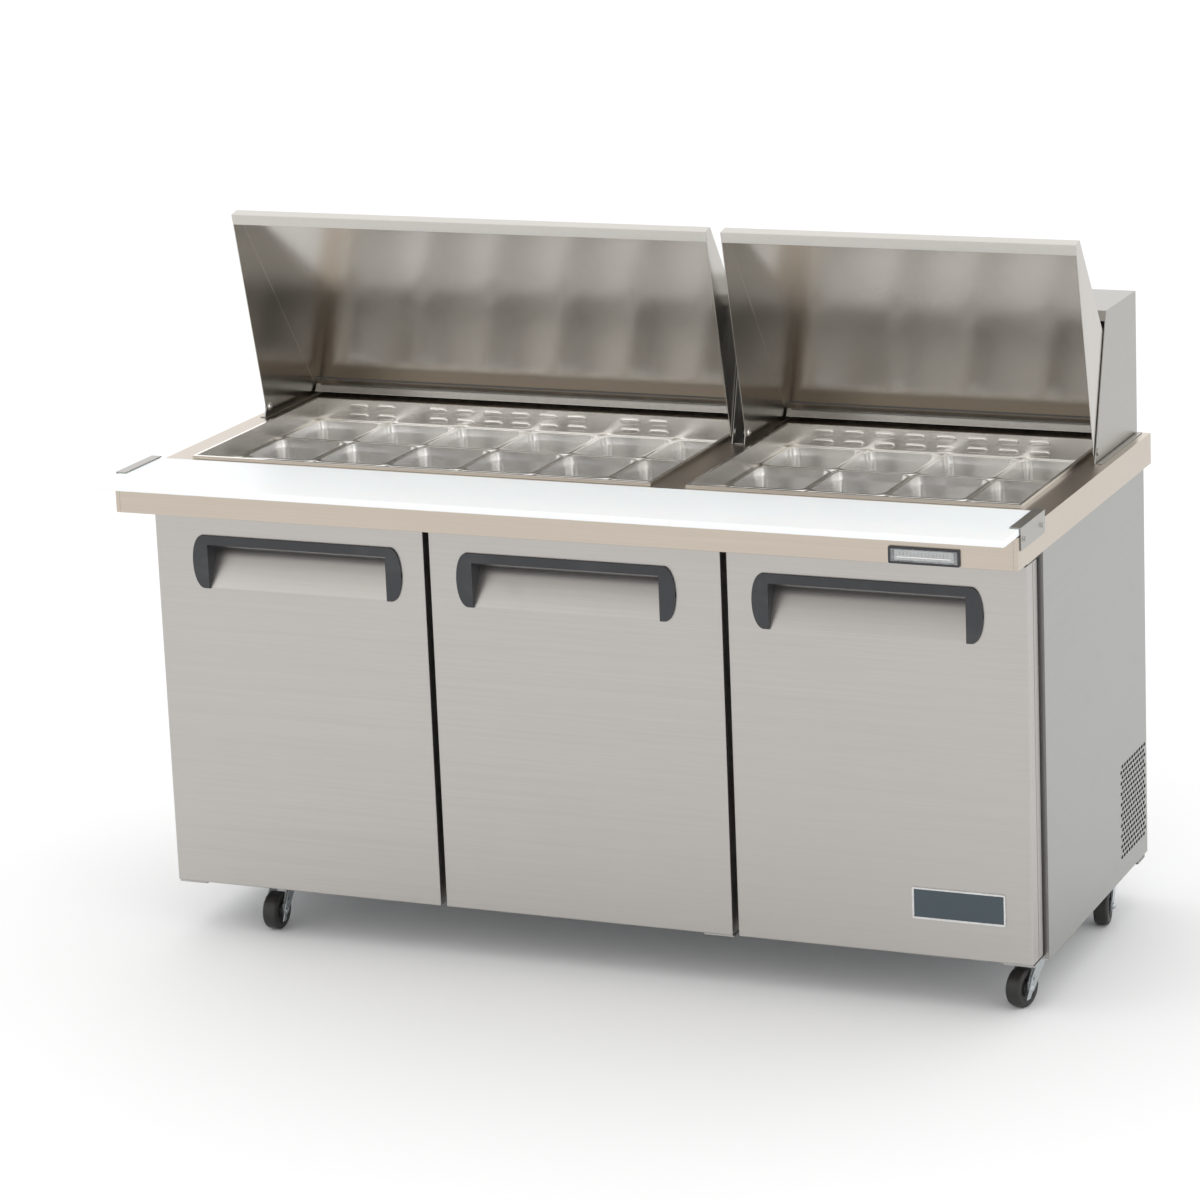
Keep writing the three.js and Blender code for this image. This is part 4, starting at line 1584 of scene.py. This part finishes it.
@dataclass
class Machine:
    """The refrigeration parts behind the grille and at the back of the cabinet."""

    fin_gap: float = 3.0
    fin_thickness: float = 0.5
    tube_gap: float = 30.0
    tube_radius: float = 4.0

    def build(self) -> None:
        """Models the coils and dresses the rest."""
        self._coil("condenser_coil", "condenser_fins", 1)
        self._coil("evaporator_coil", "evaporator_fins", 0)
        Bench.dress("compressor", "compressor_pot", "table", Finish.ENAMEL, 3.0, 3, 50)
        Bench.dress("condenser_shroud", "fan_shroud", "table", Finish.GALVANISED, 0.6)
        for fan in ("condenser_fan", "evaporator_fan"):
            Bench.dress(fan, f"{fan}_blades", fan, Finish.ENAMEL, 0.4)
        Bench.dress("power_gland", "cord_gland", "table", Finish.CHARCOAL, 0.6)

    def _coil(self, node: str, name: str, axis: int) -> None:
        """A fin pack between end plates, with tubes through it.

        Args:
            node: the CAD node that gives the place.
            name: the new piece's name.
            axis: the axis along which the fins are stacked.
        """
        low, high = box_of(node)
        fin_high = high.copy()
        fin_high[axis] = low[axis] + self.fin_thickness
        fins = Bench.block(name, low, fin_high)
        stack = high[axis] - low[axis]
        span = stack - self.fin_thickness
        count = int(span // self.fin_gap)
        Bench.repeat(fins, count + 1, **{"xyz"[axis]: span / count})
        Bench.settle(fins, "table", Finish.FIN, [node], weighted=False)
        middle = (low + high) / 2
        turn = (0, 90, 0) if axis == 0 else (90, 0, 0)
        tubes = []
        rows = int((high.z - low.z) // self.tube_gap)
        for number in range(rows):
            centre = middle.copy()
            centre.z = low.z + (number + 0.5) * (high.z - low.z) / rows
            tubes.append(Bench.rod("tube", centre, self.tube_radius, stack - 1, turn, 12))
        pipe = Bench.join(f"{name}_tubes", *tubes)
        Bench.settle(pipe, "table", Finish.COPPER, weighted=False)


# ---------------------------------------------------------------- casters


@dataclass
class Caster:
    """One swivel caster."""

    corner: str
    turn: float
    braked: bool
    radius: float = 38.0
    width: float = 30.0
    shoulder: float = 6.0
    hub_radius: float = 16.0
    nut_reach: float = 20.4

    def build(self) -> None:
        """Models the wheel, the fork, the bolts and the brake."""
        low, high = box_of(f"{self.corner}_caster_wheel")
        self.centre = (low + high) / 2
        self.across = Vector(
            (math.cos(math.radians(self.turn)), math.sin(math.radians(self.turn)), 0)
        )
        self._wheel()
        caster = f"{self.corner}_caster"
        Bench.dress(f"{caster}_fork", f"{self.corner}_fork", caster, Finish.ZINC, 0.9)
        for letter, way in (("a", -1), ("b", 1)):
            spot = self.centre + self.across * way * self.nut_reach
            name = f"{self.corner}_axle_nut_{letter}"
            nut = Bench.dome(name, spot, 6.5, 5.5, (0, way * 90, self.turn))
            Bench.settle(nut, caster, Finish.ZINC)
        if self.braked:
            brake = f"{self.corner}_brake"
            Bench.dress(f"{caster}_brake", f"{brake}_lever", brake, Finish.ZINC, 0.5)

    def _wheel(self) -> None:
        """The tyre with its rounded shoulders, and the hub let into it."""
        body = f"{self.corner}_wheel"
        tyre = Bench.rod(
            f"{self.corner}_tyre", self.centre, self.radius, self.width, (0, 90, self.turn), 56
        )
        with Bench.editing(tyre):
            Bench.pick(tyre, Part.FACE, lambda c, n: abs(n.dot(self.across)) > 0.9)
            bpy.ops.mesh.inset(thickness=12.0 * MM, use_individual=True)
            bpy.ops.mesh.inset(thickness=2.0 * MM, depth=-3.0 * MM, use_individual=True)
            Bench.pick(
                tyre,
                Part.EDGE,
                lambda a, b: min((a - self.centre).length, (b - self.centre).length)
                > self.radius + 0.8
                and abs((a - b).dot(self.across)) < 0.1,
            )
            Bench.round_off(self.shoulder, 5)
        Bench.settle(tyre, body, Finish.TREAD, [f"{self.corner}_caster_wheel"])
        name, turn = f"{self.corner}_hub", (0, 90, self.turn)
        hub = Bench.rod(name, self.centre, self.hub_radius, self.width + 2, turn, 40)
        with Bench.editing(hub):
            Bench.pick(hub, Part.FACE, lambda c, n: abs(n.dot(self.across)) > 0.9)
            bpy.ops.mesh.inset(thickness=3.0 * MM, use_individual=True)
            bpy.ops.mesh.inset(thickness=1.5 * MM, depth=-2.0 * MM, use_individual=True)
        Bench.soften(hub, 0.5, 2, 40)
        Bench.settle(hub, body, Finish.HUB)


# ---------------------------------------------------------------- the whole table


def sub_assemblies() -> list:
    """Every sub-assembly.

    Returns:
        The sub-assemblies, in the order of making.
    """
    left_louvres = (94, 157, 277, 340, 403, 466, 529, 592, 712, 775)
    right_louvres = (73, 138, 203, 268, 333, 398, 463, 528)
    return [
        Studio(),
        Cabinet(),
        *(Door(side) for side in ("left", "middle", "right")),
        NamePlate(),
        Worktop(),
        PanWell("left", 6, 974.0 / 6, left_louvres, -857.5),
        PanWell("right", 4, 163.5, right_louvres, 202.5),
        Hood("left"),
        Hood("right"),
        *(WireShelf(f"{side}_shelf") for side in ("left", "middle", "right")),
        Machine(),
        Caster("front_left", 0.0, True),
        Caster("front_right", -15.0, True),
        Caster("rear_left", 0.0, False),
        Caster("rear_right", 8.0, False),
    ]


def main() -> None:
    """Builds the table."""
    logging.basicConfig(level=logging.INFO, format="%(name)s: %(message)s")
    for assembly in sub_assemblies():
        assembly.build()
        log.info("%s is done", type(assembly).__name__)


if __name__ == "__main__":
    main()
